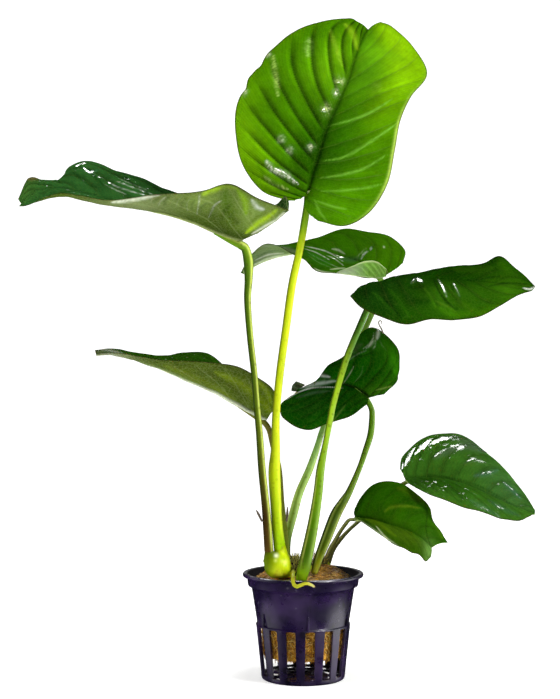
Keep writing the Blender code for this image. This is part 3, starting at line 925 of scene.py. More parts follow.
@dataclass
class Leaf:
    """One leaf: its blade, laid through rows of sightings, and its stalk."""

    name: str
    rows: list[tuple[Sighting, Sighting, Sighting]]
    arch: tuple[float, float]
    stalk: list[tuple[Sighting, float]]
    upper: Tone
    lower: Tone
    stalk_tones: list[tuple[float, Tone]]
    veins: Veins = Veins()
    patches: tuple[Patch, ...] = ()
    marks: tuple[Mark, ...] = ()
    nicks: tuple[Nick, ...] = ()
    flaps: tuple[Flap, ...] = ()
    lobes: tuple[float, float] = (0.0, 0.0)
    damp: float = 0.2
    wave: float = 0.35
    keel: float = 0.9
    margin: Tone = (40, 42, 12)
    keel_tone: Tone = (176, 190, 120)
    sheath: float = 0.3
    sheath_turn: float = 1.9
    # painted highlights and painted side shade along the stalk
    light_and_shade_stripes: tuple[Stripe, ...] = ()
    stalk_slot: Slot = Slot.STALK
    thickness: float = 0.5
    columns: int = 116
    rows_along: int = 150
    seed: int = 1

    def lines(self) -> list[Array]:
        """Find the stops of the midrib, the left margin and the right margin."""
        return [sighted([row[k] for row in self.rows]) for k in range(3)]

    def surface(self, across: Array, along: Array) -> tuple[Array, Array]:
        """Lay points on the blade's upper face, before its relief.

        Args:
            across: Places from -1, the left margin, to 1, the right one.
            along: Places from 0, the foot, to 1, the tip.

        Returns:
            The points, and the width of the half that each is on, in millimetres.
        """
        midrib, left, right = self.lines()
        middle = smooth_line(midrib, along)
        left_half, right_half = smooth_line(left, along), smooth_line(right, along)
        on_left = (across < 0)[:, None]
        half = np.where(on_left, left_half, right_half) - middle
        ahead = smooth_line(midrib, along + 0.02) - smooth_line(midrib, along - 0.02)
        up = unit(np.cross(right_half - left_half, ahead))
        share = np.abs(across)
        width = np.linalg.norm(half, axis=1)
        arch = np.where(across < 0, self.arch[0], self.arch[1]) * width
        rise = arch * np.sin(pi * share)
        outward = unit(np.cross(up, half)) * np.sign(-across)[:, None]
        bow = Veins.half(self.lobes, across) * np.sin(pi * share**0.8) * (1 - ease(along, 0.0, 0.13))
        pulled = sum((nick.pull(across, along) for nick in self.nicks), np.zeros(len(across)))
        spots = middle + half * share[:, None] + up * rise[:, None] + outward * bow[:, None]
        return spots - unit(half) * pulled[:, None], width

    def relief(self, across: Array, along: Array, width: Array, points: Array) -> Array:
        """Work out how far each point of the upper face stands up from the plain surface."""
        share = np.abs(across)
        off = share * width
        groove = -0.6 * np.exp(-((off / 1.0) ** 2)) * (1.0 - 0.7 * along)
        phase = self.veins.phase(across, along)
        depth = Veins.half(self.veins.pleat, across)
        fold = np.abs(np.sin(pi * phase)) ** 0.75 - 0.6
        hold = ease(share, 0.02, 0.2) * (1 - 0.75 * ease(share, 0.75, 1.0)) * (1 - ease(along, 0.88, 1.0))
        pleats = depth * fold * hold
        fine = 0.05 * np.sin(2 * pi * phase * 3.5) * hold
        edge = self.wave * share**3 * np.sin(2 * pi * (4.2 * along + 0.3 * self.seed)) * np.sin(pi * along)
        swell = 0.14 * ripple(points, self.seed, 9.0) + 0.05 * ripple(points, self.seed + 50, 3.2)
        lift = groove + pleats + fine + edge + swell * (1 - ease(share, 0.85, 1.0))
        places = shown(points)
        for mark in self.marks:
            if mark.lift:
                lift = lift + mark.lift * mark.cover(places)
        return lift

    def skin_tones(
        self, across: Array, along: Array, width: Array, places: Array, face: Face
    ) -> tuple[Array, Array]:
        """Colour one side of the blade.

        Args:
            across: Each point's place across.
            along: Its place along.
            width: The width of its half.
            places: Where it shows.
            face: The side.

        Returns:
            The colours, and how wet each point is.
        """
        share = np.abs(across)
        base = linear(self.upper if face is Face.UPPER else self.lower)
        tones = np.tile(base, (len(across), 1))
        wet = np.full(len(across), self.damp)
        for patch in self.patches:
            if patch.face in (face, Face.BOTH):
                cover = patch.cover(across, along)[:, None]
                tones = washed(tones, patch.tone, cover)
        # upper side: painted shade beside the veins and painted highlights on the ridges between them
        if face is Face.UPPER:
            tones = tones * (1 - self.veins.painted_pleat_light(across, along))[:, None]
        for mark in self.marks:
            if mark.face in (face, Face.BOTH):
                cover = mark.cover(places)
                wet = np.maximum(wet, cover * mark.wet)
                if mark.tone is not None:
                    cover = (cover * mark.strength * mark.grain(places))[:, None]
                    tones = washed(tones, mark.tone, cover)
        # on the upper side the midrib's groove is darkened as painted shade; on the lower side the keel is its
        # own pale tone
        rib = np.exp(-((share * width / (0.8 if face is Face.UPPER else 0.95)) ** 2))[:, None]
        if face is Face.UPPER:
            tones = tones * (1 - 0.35 * rib)
        else:
            tones = washed(tones, self.keel_tone, 0.75 * rib)
        edge = (1 - ease((1 - share) * width, 0.2, 0.8))[:, None] * 0.7
        return washed(tones, self.margin, edge), wet

    def build_blade(self, finishes: Sequence[Finish]) -> Piece:
        """Build the blade: an upper and a lower skin with a thin rim between them."""
        blade, x, along = laid_grid(f"{self.name}_blade_skin", self.columns, self.rows_along)
        across = np.sign(x) * (0.45 * np.abs(x) + 0.55 * (0.5 - 0.5 * np.cos(pi * np.abs(x))))
        points, width = self.surface(across, along)
        set_points(blade, points)
        facing = normals_of(blade)
        set_points(blade, points + facing * self.relief(across, along, width, points)[:, None])
        body = blade.vertex_groups.new(name="body")
        inner = 1 - ease(np.abs(across), 0.8, 1.0)
        for level in range(11):
            chosen = np.flatnonzero(np.rint(inner * 10) == level)
            body.add(chosen.tolist(), level / 10, "REPLACE")
        apply_modifier(
            blade,
            "SOLIDIFY",
            thickness=self.thickness * MM,
            offset=-1.0,
            vertex_group="body",
            thickness_vertex_group=0.45,
        )
        count = len(across)
        spots = points_of(blade)
        up = unit(spots[:count] - spots[count : 2 * count])
        off = np.abs(across) * width
        taper = 1 - 0.8 * along
        keel = self.keel * taper * np.exp(-((off / (0.5 + 0.7 * taper)) ** 2)) * ease(along, 0.0, 0.03)
        ridge = 0.1 * (1 - np.abs(np.sin(pi * self.veins.phase(across, along)))) ** 3 * ease(off, 1.0, 4.0)
        ridge = ridge * (1 - ease(np.abs(across), 0.8, 0.98))
        spots[count : 2 * count] -= up * (keel + ridge)[:, None]
        set_points(blade, spots)
        self.map_veins(blade, across, along)
        places = shown(spots[:count])
        sides = [self.skin_tones(across, along, width, places, face) for face in (Face.UPPER, Face.LOWER)]
        paint(blade, np.vstack([tones for tones, _ in sides]), np.concatenate([wet for _, wet in sides]))
        pale = Veins.half(self.veins.pale, across) * ease(width, 0.5, 4.0)
        pale = pale * (1 - ease(np.abs(across), 0.8, 1.0))
        write_values(blade.data, VEINING, np.tile(pale, 2))
        hand_over(blade, finishes, Slot.BLADE, f"{self.name}_blade")
        under = np.zeros(len(blade.data.polygons), np.int32)
        under[self.columns * self.rows_along : 2 * self.columns * self.rows_along] = 1
        blade.data.polygons.foreach_set("material_index", under)
        for number, flap in enumerate(self.flaps, start=1):
            flap.build(f"{self.name}_turned_margin_{number}", finishes)
        return blade

    def map_veins(self, blade: Piece, across: Array, along: Array) -> None:
        """Lay a map over the blade whose second axis numbers the veins."""
        mesh = blade.data
        corner = np.empty(len(mesh.loops), np.int32)
        mesh.loops.foreach_get("vertex_index", corner)
        phase = self.veins.phase(across, along)
        rows = np.column_stack([across, phase])[corner % len(across)]
        mesh.uv_layers[0].name = VEIN_MAP
        mesh.uv_layers[VEIN_MAP].data.foreach_set("uv", rows.astype(np.float32).ravel())

    def stalk_line(self) -> tuple[Array, Array]:
        """Find the stalk's middle line, up into the keel under the midrib, and its radii."""
        stops = [seen(*stop) for stop, _ in self.stalk]
        radii = [radius for _, radius in self.stalk]
        midrib, left, right = self.lines()
        up = unit(np.cross(right[1] - left[1], midrib[1] - midrib[0]))
        last = radii[-1]
        for share, shrink in ((0.0, 1.0), (0.35, 0.85), (1.0, 0.6), (1.8, 0.35)):
            row = smooth_line(midrib, np.array([share / (len(self.rows) - 1)]))[0]
            stops.append(row - up * (0.85 + last * shrink))
            radii.append(last * shrink)
        return np.array(stops), np.array(radii)

    def section(self, angle: Array, along: Array) -> Array:
        """Shape the stalk's section: a sheath with two wings and a groove at its foot."""
        open_share = 1 - ease(along, self.sheath * 0.55, self.sheath)
        turned = np.abs((angle - self.sheath_turn + pi) % (2 * pi) - pi)
        groove = np.exp(-((turned / 0.32) ** 2))
        wings = np.exp(-(((turned - 0.62) / 0.2) ** 2))
        round_share = 1 + 0.03 * np.cos(2 * angle + 1.0) + 0.015 * np.cos(5 * angle)
        return round_share + open_share * (0.1 * wings - 0.3 * groove) - 0.05 * groove

    def build_stalk(self, finish: Finish) -> Piece:
        """Build the stalk, with its sheath and its bend into the blade."""
        stops, radii = self.stalk_line()
        length = np.linalg.norm(np.diff(stops, axis=0), axis=1).sum()
        rows = int(length / 1.1) + 20
        stalk, angle, along = tube(f"{self.name}_stalk_skin", stops, radii, rows, 28, self.section)
        places = np.array([place for place, _ in self.stalk_tones])
        tones = np.array([linear(tone) for _, tone in self.stalk_tones])
        blend = graded(along, places, tones)
        turned = np.abs((angle - self.sheath_turn + pi) % (2 * pi) - pi)
        edge = np.exp(-(((turned - 0.5) / 0.12) ** 2))
        edge = edge * (1 - ease(along, self.sheath * 0.6, self.sheath)) * 0.5
        blend = washed(blend, SHEATH_MARGIN, edge[:, None])
        # paint the bands of highlight and side shade onto the stalk
        for stripe in self.light_and_shade_stripes:
            cover = stripe.cover(angle, along)[:, None]
            blend = washed(blend, stripe.tone, cover)
        paint(stalk, blend, 0.3)
        close_seams(stalk)
        hand_over(stalk, [finish], self.stalk_slot, f"{self.name}_stalk")
        return stalk


TOP_LEAF = Leaf(
    "top_leaf",
    rows=[
        ((308, 193, -17), (288, 201, -21), (318, 221, -24)),
        ((310, 184, -17), (262, 191, -25), (345, 226, -25)),
        ((313, 172, -16), (243, 166, -27), (370, 212, -24)),
        ((318, 157, -15), (236, 138, -27), (388, 183, -22)),
        ((323, 139, -13), (236, 108, -25), (395, 150, -19)),
        ((330, 121, -11), (247, 83, -21), (400, 122, -15)),
        ((339, 101, -8), (262, 61, -15), (411, 97, -10)), ((348, 80, -4), (289, 35, -7), (427, 74, -3)),
        ((355, 57, 2), (318, 22, 1), (413, 46, 5)), ((362, 38, 7), (348, 18.2, 8), (392.5, 27, 9)),
        ((368, 29, 10), (358.5, 22, 10), (380.5, 21.8, 11)),
    ],
    arch=(0.08, 0.1),
    stalk=[
        ((280, 549, -13), 2.7), ((277.5, 526, -13), 2.4), ((276, 503, -13), 2.5), ((274.5, 472, -13), 2.7),
        ((275.5, 448, -13), 2.1), ((276, 415, -13), 1.8), ((280, 372, -13), 1.8), ((286, 328, -12), 1.8),
        ((292, 285, -11), 1.8), ((300, 248, -11), 1.7), ((304.5, 222, -12), 1.7), ((307, 205, -13.5), 1.6),
    ],
    upper=(64, 120, 0), lower=(128, 158, 66),
    stalk_tones=[
        (0, (160, 206, 8)), (0.13, (178, 206, 10)), (0.25, (200, 218, 24)), (0.5, (196, 214, 24)),
        (0.6, (180, 204, 22)), (0.66, (124, 166, 26)), (0.73, (96, 136, 12)),
    ],
    stalk_slot=Slot.YOUNG,
    light_and_shade_stripes=(
        Stripe(1.15, 0.55, (86, 98, 0), 0.9, 0.2, 0.6), Stripe(1, 0.6, (42, 72, 4), 0.9, 0.62),
        Stripe(1.2, 0.5, (60, 90, 0), 0.85, 0, 0.18), Stripe(-0.8, 0.35, (240, 252, 70), 0.7, 0.05, 0.62),
        Stripe(-1.5, 0.22, (116, 130, 20), 0.8),
    ),
    veins=Veins(11.5, (0.28, 0.16), 1, (0.8, 0.22), (0.05, 0.5), (-0.75, 0.2), (0.6, 0.2)),
    patches=(
        Patch(-0.85, 0.25, (0.3, 0.25), (112, 168, 4)), Patch(0.75, 0.8, (0.4, 0.25), (142, 200, 6), 0.9),
        Patch(0.2, 0.75, (0.3, 0.2), (90, 156, 16), 0.6), Patch(0.2, 0.38, (0.3, 0.25), (40, 96, 1)),
        Patch(0, 0.32, (0.07, 0.35), (20, 66, 1)), Patch(-0.15, 0.3, (0.32, 0.3), (22, 64, 0), 0.85),
        Patch(-0.6, 0.42, (0.3, 0.2), (58, 112, 0), 0.7), Patch(-0.3, 0.72, (0.3, 0.15), (96, 154, 8), 0.7),
        # the narrow patch at the right margin is a painted highlight
        Patch(0.6, 0.1, (0.5, 0.1), (72, 132, 2), 0.7), Patch(0.985, 0.4, (0.03, 0.2), (206, 240, 100)),
    ),
    marks=(
        # painted glints: the pale streaks on the wet lower left lobe, and the pale spot after the dark streak
        Mark(((266, 161), (273, 169), (284, 174), (298, 184)), 2.6, (238, 240, 216), 0.95, 0.3, 1, 0.9),
        Mark(((264, 176), (274, 184), (288, 189)), 2, (196, 214, 120), 0.7, 0.3, 1, 0.9),
        Mark(((257, 164), (268, 178), (282, 188)), 3, (40, 84, 2), 0.5),
        Mark(((281, 139),), 3, (226, 234, 190), 0.8, 0.4, 1, 0.9),
        Mark(((329, 126), (356, 118.5), (374, 110.5), (392, 99)), 1.3, (126, 190, 60), 0.7),
        Mark(((322, 161), (343, 157.5), (363, 146.5), (385, 132), (396, 124)), 1.3, (126, 190, 60)),
        Mark(((320, 178), (343, 174.5), (365, 168), (388, 154)), 1.3, (126, 190, 60), 0.75),
        Mark(((320, 191.5), (343, 190.5), (365, 188), (383, 184)), 1.2, (120, 182, 54), 0.6),
        Mark(((317, 201), (331.5, 206), (347, 209.5)), 1.2, (120, 182, 54), 0.6),
        Mark(((314.5, 199.5), (319, 210.5), (327, 222)), 1.2, (120, 182, 54), 0.6),
        # painted glints on wet spots and painted highlights on the ridges of the left half, in the ten marks
        # from here on
        Mark(((290, 150),), 3, (226, 234, 190), 0.8, 0.4, 1, 0.9),
        Mark(((311, 147),), 3, (226, 234, 190), 0.8, 0.4, 1, 0.9),
        Mark(((340, 81),), 4, (206, 220, 140), 0.8, 0.5, 1, 0.9),
        Mark(((336.5, 93),), 3.2, (222, 232, 180), 0.8, 0.5, 1, 0.9),
        Mark(((326.5, 109),), 4.6, (200, 216, 130), 0.8, 0.5, 1, 0.9),
        Mark(((376, 88),), 4, (150, 190, 60), 0.6, 0.3, 1, 0.9),
        Mark(((244, 92),), 3, (226, 234, 190), 0.8, 0.3, 1, 0.8),
        Mark(((268, 55),), 2.2, (226, 234, 190), 0.8, 0.3, 1, 0.8),
        Mark(((273, 56), (275, 72), (278, 96)), 2.4, (176, 210, 96), 0.7, 0, 0.5, 0.8),
        Mark(((309, 38), (308, 56)), 3.2, (166, 206, 96), 0.7, 0, 0.5, 0.8),
        Mark(((357, 60), (380, 52), (404, 60)), 5, (100, 160, 12), 0.5),
        Mark(((345, 24), (352, 32), (358, 50)), 3, (150, 196, 30), 0.6),
        Mark(((330, 30), (336, 48), (342, 66)), 2.2, (150, 196, 40), 0.6, 0, 0, 0.5),
    ),
    nicks=(
        Nick(-1, 0.475, 0.018, 0.8), Nick(-1, 0.52, 0.02, -0.5), Nick(-1, 0.585, 0.018, 0.8),
        Nick(-1, 0.63, 0.02, -0.5),
    ),
    lobes=(1.2, 3.2), damp=0, seed=1,
)

UPPER_LEFT_LEAF = Leaf(
    "upper_left_leaf",
    rows=[
        ((243, 239, -20), (289, 210, -44), (274, 213, 8)),
        ((229, 235, -20), (258, 198, -53), (252, 199, 15)),
        ((212, 228, -20), (230, 184, -55.5), (228, 196, 19)),
        ((190, 219, -20), (204, 190, -55), (200, 198, 21)),
        ((166, 212, -20), (178, 193, -53), (168, 191, 22)),
        ((140, 206, -20), (149, 195.5, -50), (143, 179, 21)),
        ((114, 200, -20), (112, 199, -46), (118, 170, 18)),
        ((92, 194, -20), (80, 195.5, -41), (91, 161.2, 13)),
        ((74, 189.5, -20), (60, 193.5, -37), (70, 167, 8)),
        ((58, 187, -20.5), (44, 197, -34), (58, 181, 1)), ((44, 188, -21), (34, 202.5, -31), (42, 180, -8)),
        ((32, 192, -22), (26, 205.5, -27), (28, 179, -14)),
        ((21, 203, -23), (19, 206, -24), (18, 199, -22)),
    ],
    arch=(-0.1, 0.08),
    stalk=[
        ((269, 551, -15), 2), ((267.5, 526, -16), 2), ((265.5, 503, -17), 1.8), ((262, 469, -17.5), 1.7),
        ((259.5, 434.5, -18), 1.6), ((257, 408, -18), 1.5), ((254, 372, -18), 1.5), ((250, 336, -18), 1.5),
        ((247.5, 301, -18), 1.6), ((248.5, 280, -18), 1.85), ((248.4, 262, -18), 2.25),
        ((245.5, 249, -19), 2),
    ],
    upper=(44, 94, 38), lower=(56, 76, 12),
    stalk_tones=[
        (0, (84, 62, 14)), (0.1, (62, 44, 6)), (0.17, (70, 68, 6)), (0.25, (84, 98, 10)),
        (0.5, (78, 110, 10)), (0.6, (74, 108, 14)), (0.66, (86, 124, 18)), (0.73, (100, 140, 20)),
    ],
    light_and_shade_stripes=(
        # the dark bands on the left darken the stalk's own brown and green as painted shade
        Stripe(0.9, 0.6, (38, 26, 2), 0.85, 0, 0.16), Stripe(1, 0.65, (24, 40, 0), 0.9, 0.16, 0.58),
        Stripe(0.95, 0.6, (38, 66, 2), 0.9, 0.56, 0.8), Stripe(-0.75, 0.32, (212, 228, 104), 0.9),
        Stripe(-1.5, 0.25, (80, 104, 6), 0.8),
    ),
    veins=Veins(9, (0.3, 0.35), 1.3, (0.35, 0.8), (0.35, 0.25), (0.2, 0.45)),
    patches=(
        *on(
            Face.LOWER, Patch(-0.3, 0.1, (0.5, 0.12), (44, 62, 4)),
            Patch(-0.75, 0.04, (0.3, 0.07), (128, 156, 70), 0.7),
            Patch(-0.8, 0.25, (0.3, 0.2), (108, 130, 60), 0.7),
            Patch(-0.6, 0.45, (0.6, 0.12), (116, 128, 84), 0.7),
        ),
        Patch(0.5, 0.95, (1, 0.1), (66, 108, 40), 0.7),
    ),
    marks=(
        *on(Face.BOTH, Mark(((75, 167), (81, 164), (86, 163.5)), 1.3, None, 0, 0.3, 0.75)),
        *on(
            Face.LOWER,
            Mark(
                ((112, 201.5), (126, 200), (142, 197.5), (160, 194.5)), 1.8, (206, 212, 190), 0.8, 0, 0,
                0.4,
            ),
            # painted light: these five marks are painted shade and painted highlights on the turned-up basal
            # lobe, and the pale grey wet one after them is a painted sheen
            Mark(((226, 192), (228, 204), (232, 220)), 7, (66, 100, 6), 0.65),
            Mark(((203, 194), (210, 190), (220, 187.5)), 3, (152, 190, 36), 0.75),
            Mark(((238, 190), (245, 200), (246, 214)), 3.2, (112, 152, 16), 0.7),
            Mark(((250, 222), (258, 216), (266, 212)), 3, (66, 88, 10), 0.6),
            Mark(((246, 232), (257, 223), (268, 216), (277, 209)), 2.6, (152, 188, 18)),
            Mark(((252, 199), (257, 206), (264, 209)), 2.2, (196, 204, 196), 0.75, 0, 0.4, 0.5),
            Mark(((151, 202), (152, 198), (157, 195.5)), 0.8, (168, 176, 146), 0.3, 0.45, 0, 0.7),
            Mark(((159, 205), (160.5, 200.5), (167, 196)), 1, (200, 206, 180), 0.65, 0.45, 0, 0.7),
            Mark(((171, 203), (174, 199), (172, 194)), 0.7, (160, 168, 132), 0.3, 0.45, 0, 0.7),
            Mark(((177, 207), (177.5, 201), (183, 195)), 0.8, (174, 182, 148), 0.3, 0.45, 0, 0.7),
            Mark(((188, 210), (187, 203), (191, 196)), 0.8, (172, 180, 146), 0.3, 0.45, 0, 0.7),
            Mark(((197, 213), (198, 206), (199, 199), (199, 194)), 1, (206, 212, 190), 0.7, 0.45, 0, 0.7),
            Mark(
                ((209, 217), (212, 209), (216, 203), (222, 199.5)), 1, (214, 220, 196), 0.75, 0.45, 0, 0.7,
            ),
            Mark(((217, 219), (218, 209), (224, 201), (221, 194)), 0.8, (136, 152, 84), 0.3, 0.45, 0, 0.7),
            Mark(((228, 224), (231, 213), (236, 205), (231, 196)), 0.8, (116, 138, 44), 0.3, 0.45, 0, 0.7),
            # painted shade in the creases beside the pale wrinkles
            Mark(((154, 202), (156, 199), (161, 196.5)), 1.2, (62, 78, 34), 0.5, -0.2),
            Mark(((165, 204), (165, 200), (170, 196)), 1.2, (58, 74, 30), 0.5, -0.2),
            Mark(((181, 207), (182, 202), (187, 197)), 1.4, (60, 76, 32), 0.5, -0.2),
            Mark(((192, 210), (192, 204), (195, 199)), 1.3, (58, 76, 30), 0.5, -0.2),
            Mark(((201, 213), (201, 207), (206, 202)), 1.6, (56, 72, 28), 0.6, -0.3),
            Mark(((211, 216), (212, 209), (217, 203)), 2, (54, 72, 22), 0.6, -0.3),
            Mark(((222, 219), (225, 211), (230, 204)), 2.4, (48, 66, 12), 0.6, -0.3),
            Mark(((228, 212), (238, 222)), 4, (46, 62, 6), 0.6, -0.3),
            # painted highlights: on the basal lobe, and along its lit edge
            Mark(((206, 187), (222, 186), (238, 188)), 2.4, (110, 142, 30), 0.7),
            Mark(((252, 233), (262, 227), (276, 219), (286, 210)), 1.2, (224, 230, 206)),
        ),
        # painted light: the four thin pale lines are painted highlights on the pleats, the dark marks with a
        # sunken lift are painted shade in creases, and the greyish wet mark is a painted sheen
        Mark(((106, 181), (118, 187), (134, 192), (152, 197)), 0.6, (196, 208, 190), 0.8, 0.3, 0.6),
        Mark(((110, 179), (124, 184), (140, 190), (158, 196)), 0.5, (180, 196, 174), 0.8, 0.3, 0.6),
        Mark(((104, 184), (116, 190), (128, 195)), 0.5, (170, 188, 160), 0.7, 0.2, 0.4),
        Mark(((118, 178), (132, 184), (150, 191)), 0.5, (150, 172, 140), 0.7, 0.2, 0.4),
        Mark(((88, 168), (96, 178), (104, 186)), 2.2, (14, 60, 14), 0.6, -0.4),
        Mark(((72, 172), (84, 181), (96, 188)), 1.6, (16, 62, 18), 0.6, -0.3),
        Mark(((82, 167), (90, 172), (98, 170)), 1.4, (70, 116, 84), 0.5, 0.3, 0.8),
        Mark(((62, 183), (58, 180), (66, 171)), 1.2, (18, 56, 16), 0.7, -0.3),
        Mark(((126, 177), (129, 181), (140, 188)), 1.2, (16, 50, 16), 0.7, -0.3),
        Mark(((26, 179), (40, 177)), 2.4, (120, 100, 60), 0.7, 0.3),
    ),
    nicks=(Nick(1, 0.51, 0.02, 1.1), Nick(1, 0.7, 0.035, -1.6)),
    flaps=(
        Flap(
            ((268, 207.5, -42), (276, 210.5, -43), (283, 212, -43.5), (288, 211.5, -44)),
            ((270, 206, -40), (277.5, 204, -41), (285, 196.5, -42), (289, 202.5, -43)), (34, 66, 20),
            (70, 90, 40), 0.8, 2,
        ),
    ),
    lobes=(-2, 0.6), rows_along=260, seed=2,
)

LOWER_LEFT_LEAF = Leaf(
    "lower_left_leaf",
    rows=[
        ((267, 419, 2), (279, 400, -6), (276, 402, 12)), ((252, 411, 1), (271, 387, -9), (264, 393, 18)),
        ((236, 402, 0), (256, 376, -12), (246, 384, 23)), ((216, 391, 0), (238, 367, -17), (228, 370, 26)),
        ((195, 382, 0), (214, 362, -24), (209, 353, 27)),
        ((174, 373, 0), (189, 361.5, -26), (184, 353, 25)),
        ((154, 364, 0), (165, 359.5, -23), (163, 355.5, 19)),
        ((134, 357, 0), (142, 357, -15), (138, 354, 12)),
        ((113, 353, 0), (118, 352.5, -8), (114, 348.5, 7)), ((96, 354, 0), (98, 353, -3), (95, 350, 3)),
    ],
    arch=(-0.1, 0.08),
    stalk=[
        ((286.5, 560, -4), 1.6), ((285.5, 544, -4), 1.6), ((284, 526, -4), 1.5), ((281.5, 503, -3), 1.4),
        ((279, 469, -2), 1.3), ((273, 446, -1), 1.3), ((269.5, 431, 1), 1.3),
    ],
    upper=(34, 76, 6), lower=(62, 78, 18),
    stalk_tones=[(0, (112, 132, 34)), (0.5, (96, 88, 34)), (1, (110, 116, 40))],
    veins=Veins(8, (0.3, 0.3), 1.3, (0.3, 0.4), (0.25, 0.3)),
    patches=(
        *on(
            Face.LOWER, Patch(-0.6, 0.06, (0.6, 0.1), (72, 96, 6)),
            Patch(0, 0.95, (1.5, 0.15), (134, 142, 112)),
        ),
        Patch(0, 0.98, (1.5, 0.1), (110, 120, 80), 0.6),
    ),
    marks=(
        Mark(((93, 352), (96, 352)), 1.6, (70, 56, 30)),
        *on(
            Face.LOWER,
            Mark(
                ((140, 361), (166, 370.5), (188, 380.5), (216, 393), (240, 407), (252, 415)), 1.9,
                (126, 142, 96),
            ),
            Mark(
                ((150, 364.5), (166, 371.5), (188, 381), (216, 394), (250, 412.5)), 0.7, (226, 232, 204),
                0.9,
            ),
            Mark(((165, 364), (200, 379), (236, 400)), 4, (88, 104, 20), 0.6),
            Mark(((215, 371), (240, 383), (262, 400), (270, 410)), 4.5, (100, 120, 14), 0.6),
            Mark(((255, 378), (266, 390), (272, 404)), 2.5, (124, 148, 24), 0.5),
            # painted shade in a crease
            Mark(((186, 364), (216, 376), (244, 398)), 2, (56, 68, 14), 0.6, -0.2),
        ),
        Mark(((99, 349), (112, 351), (126, 355)), 1.4, (176, 180, 164), 0.6),
        *on(Face.LOWER, Mark(((99, 352), (112, 354), (126, 358)), 1.4, (150, 154, 132), 0.6)),
    ),
    keel_tone=(214, 220, 196), seed=3,
)

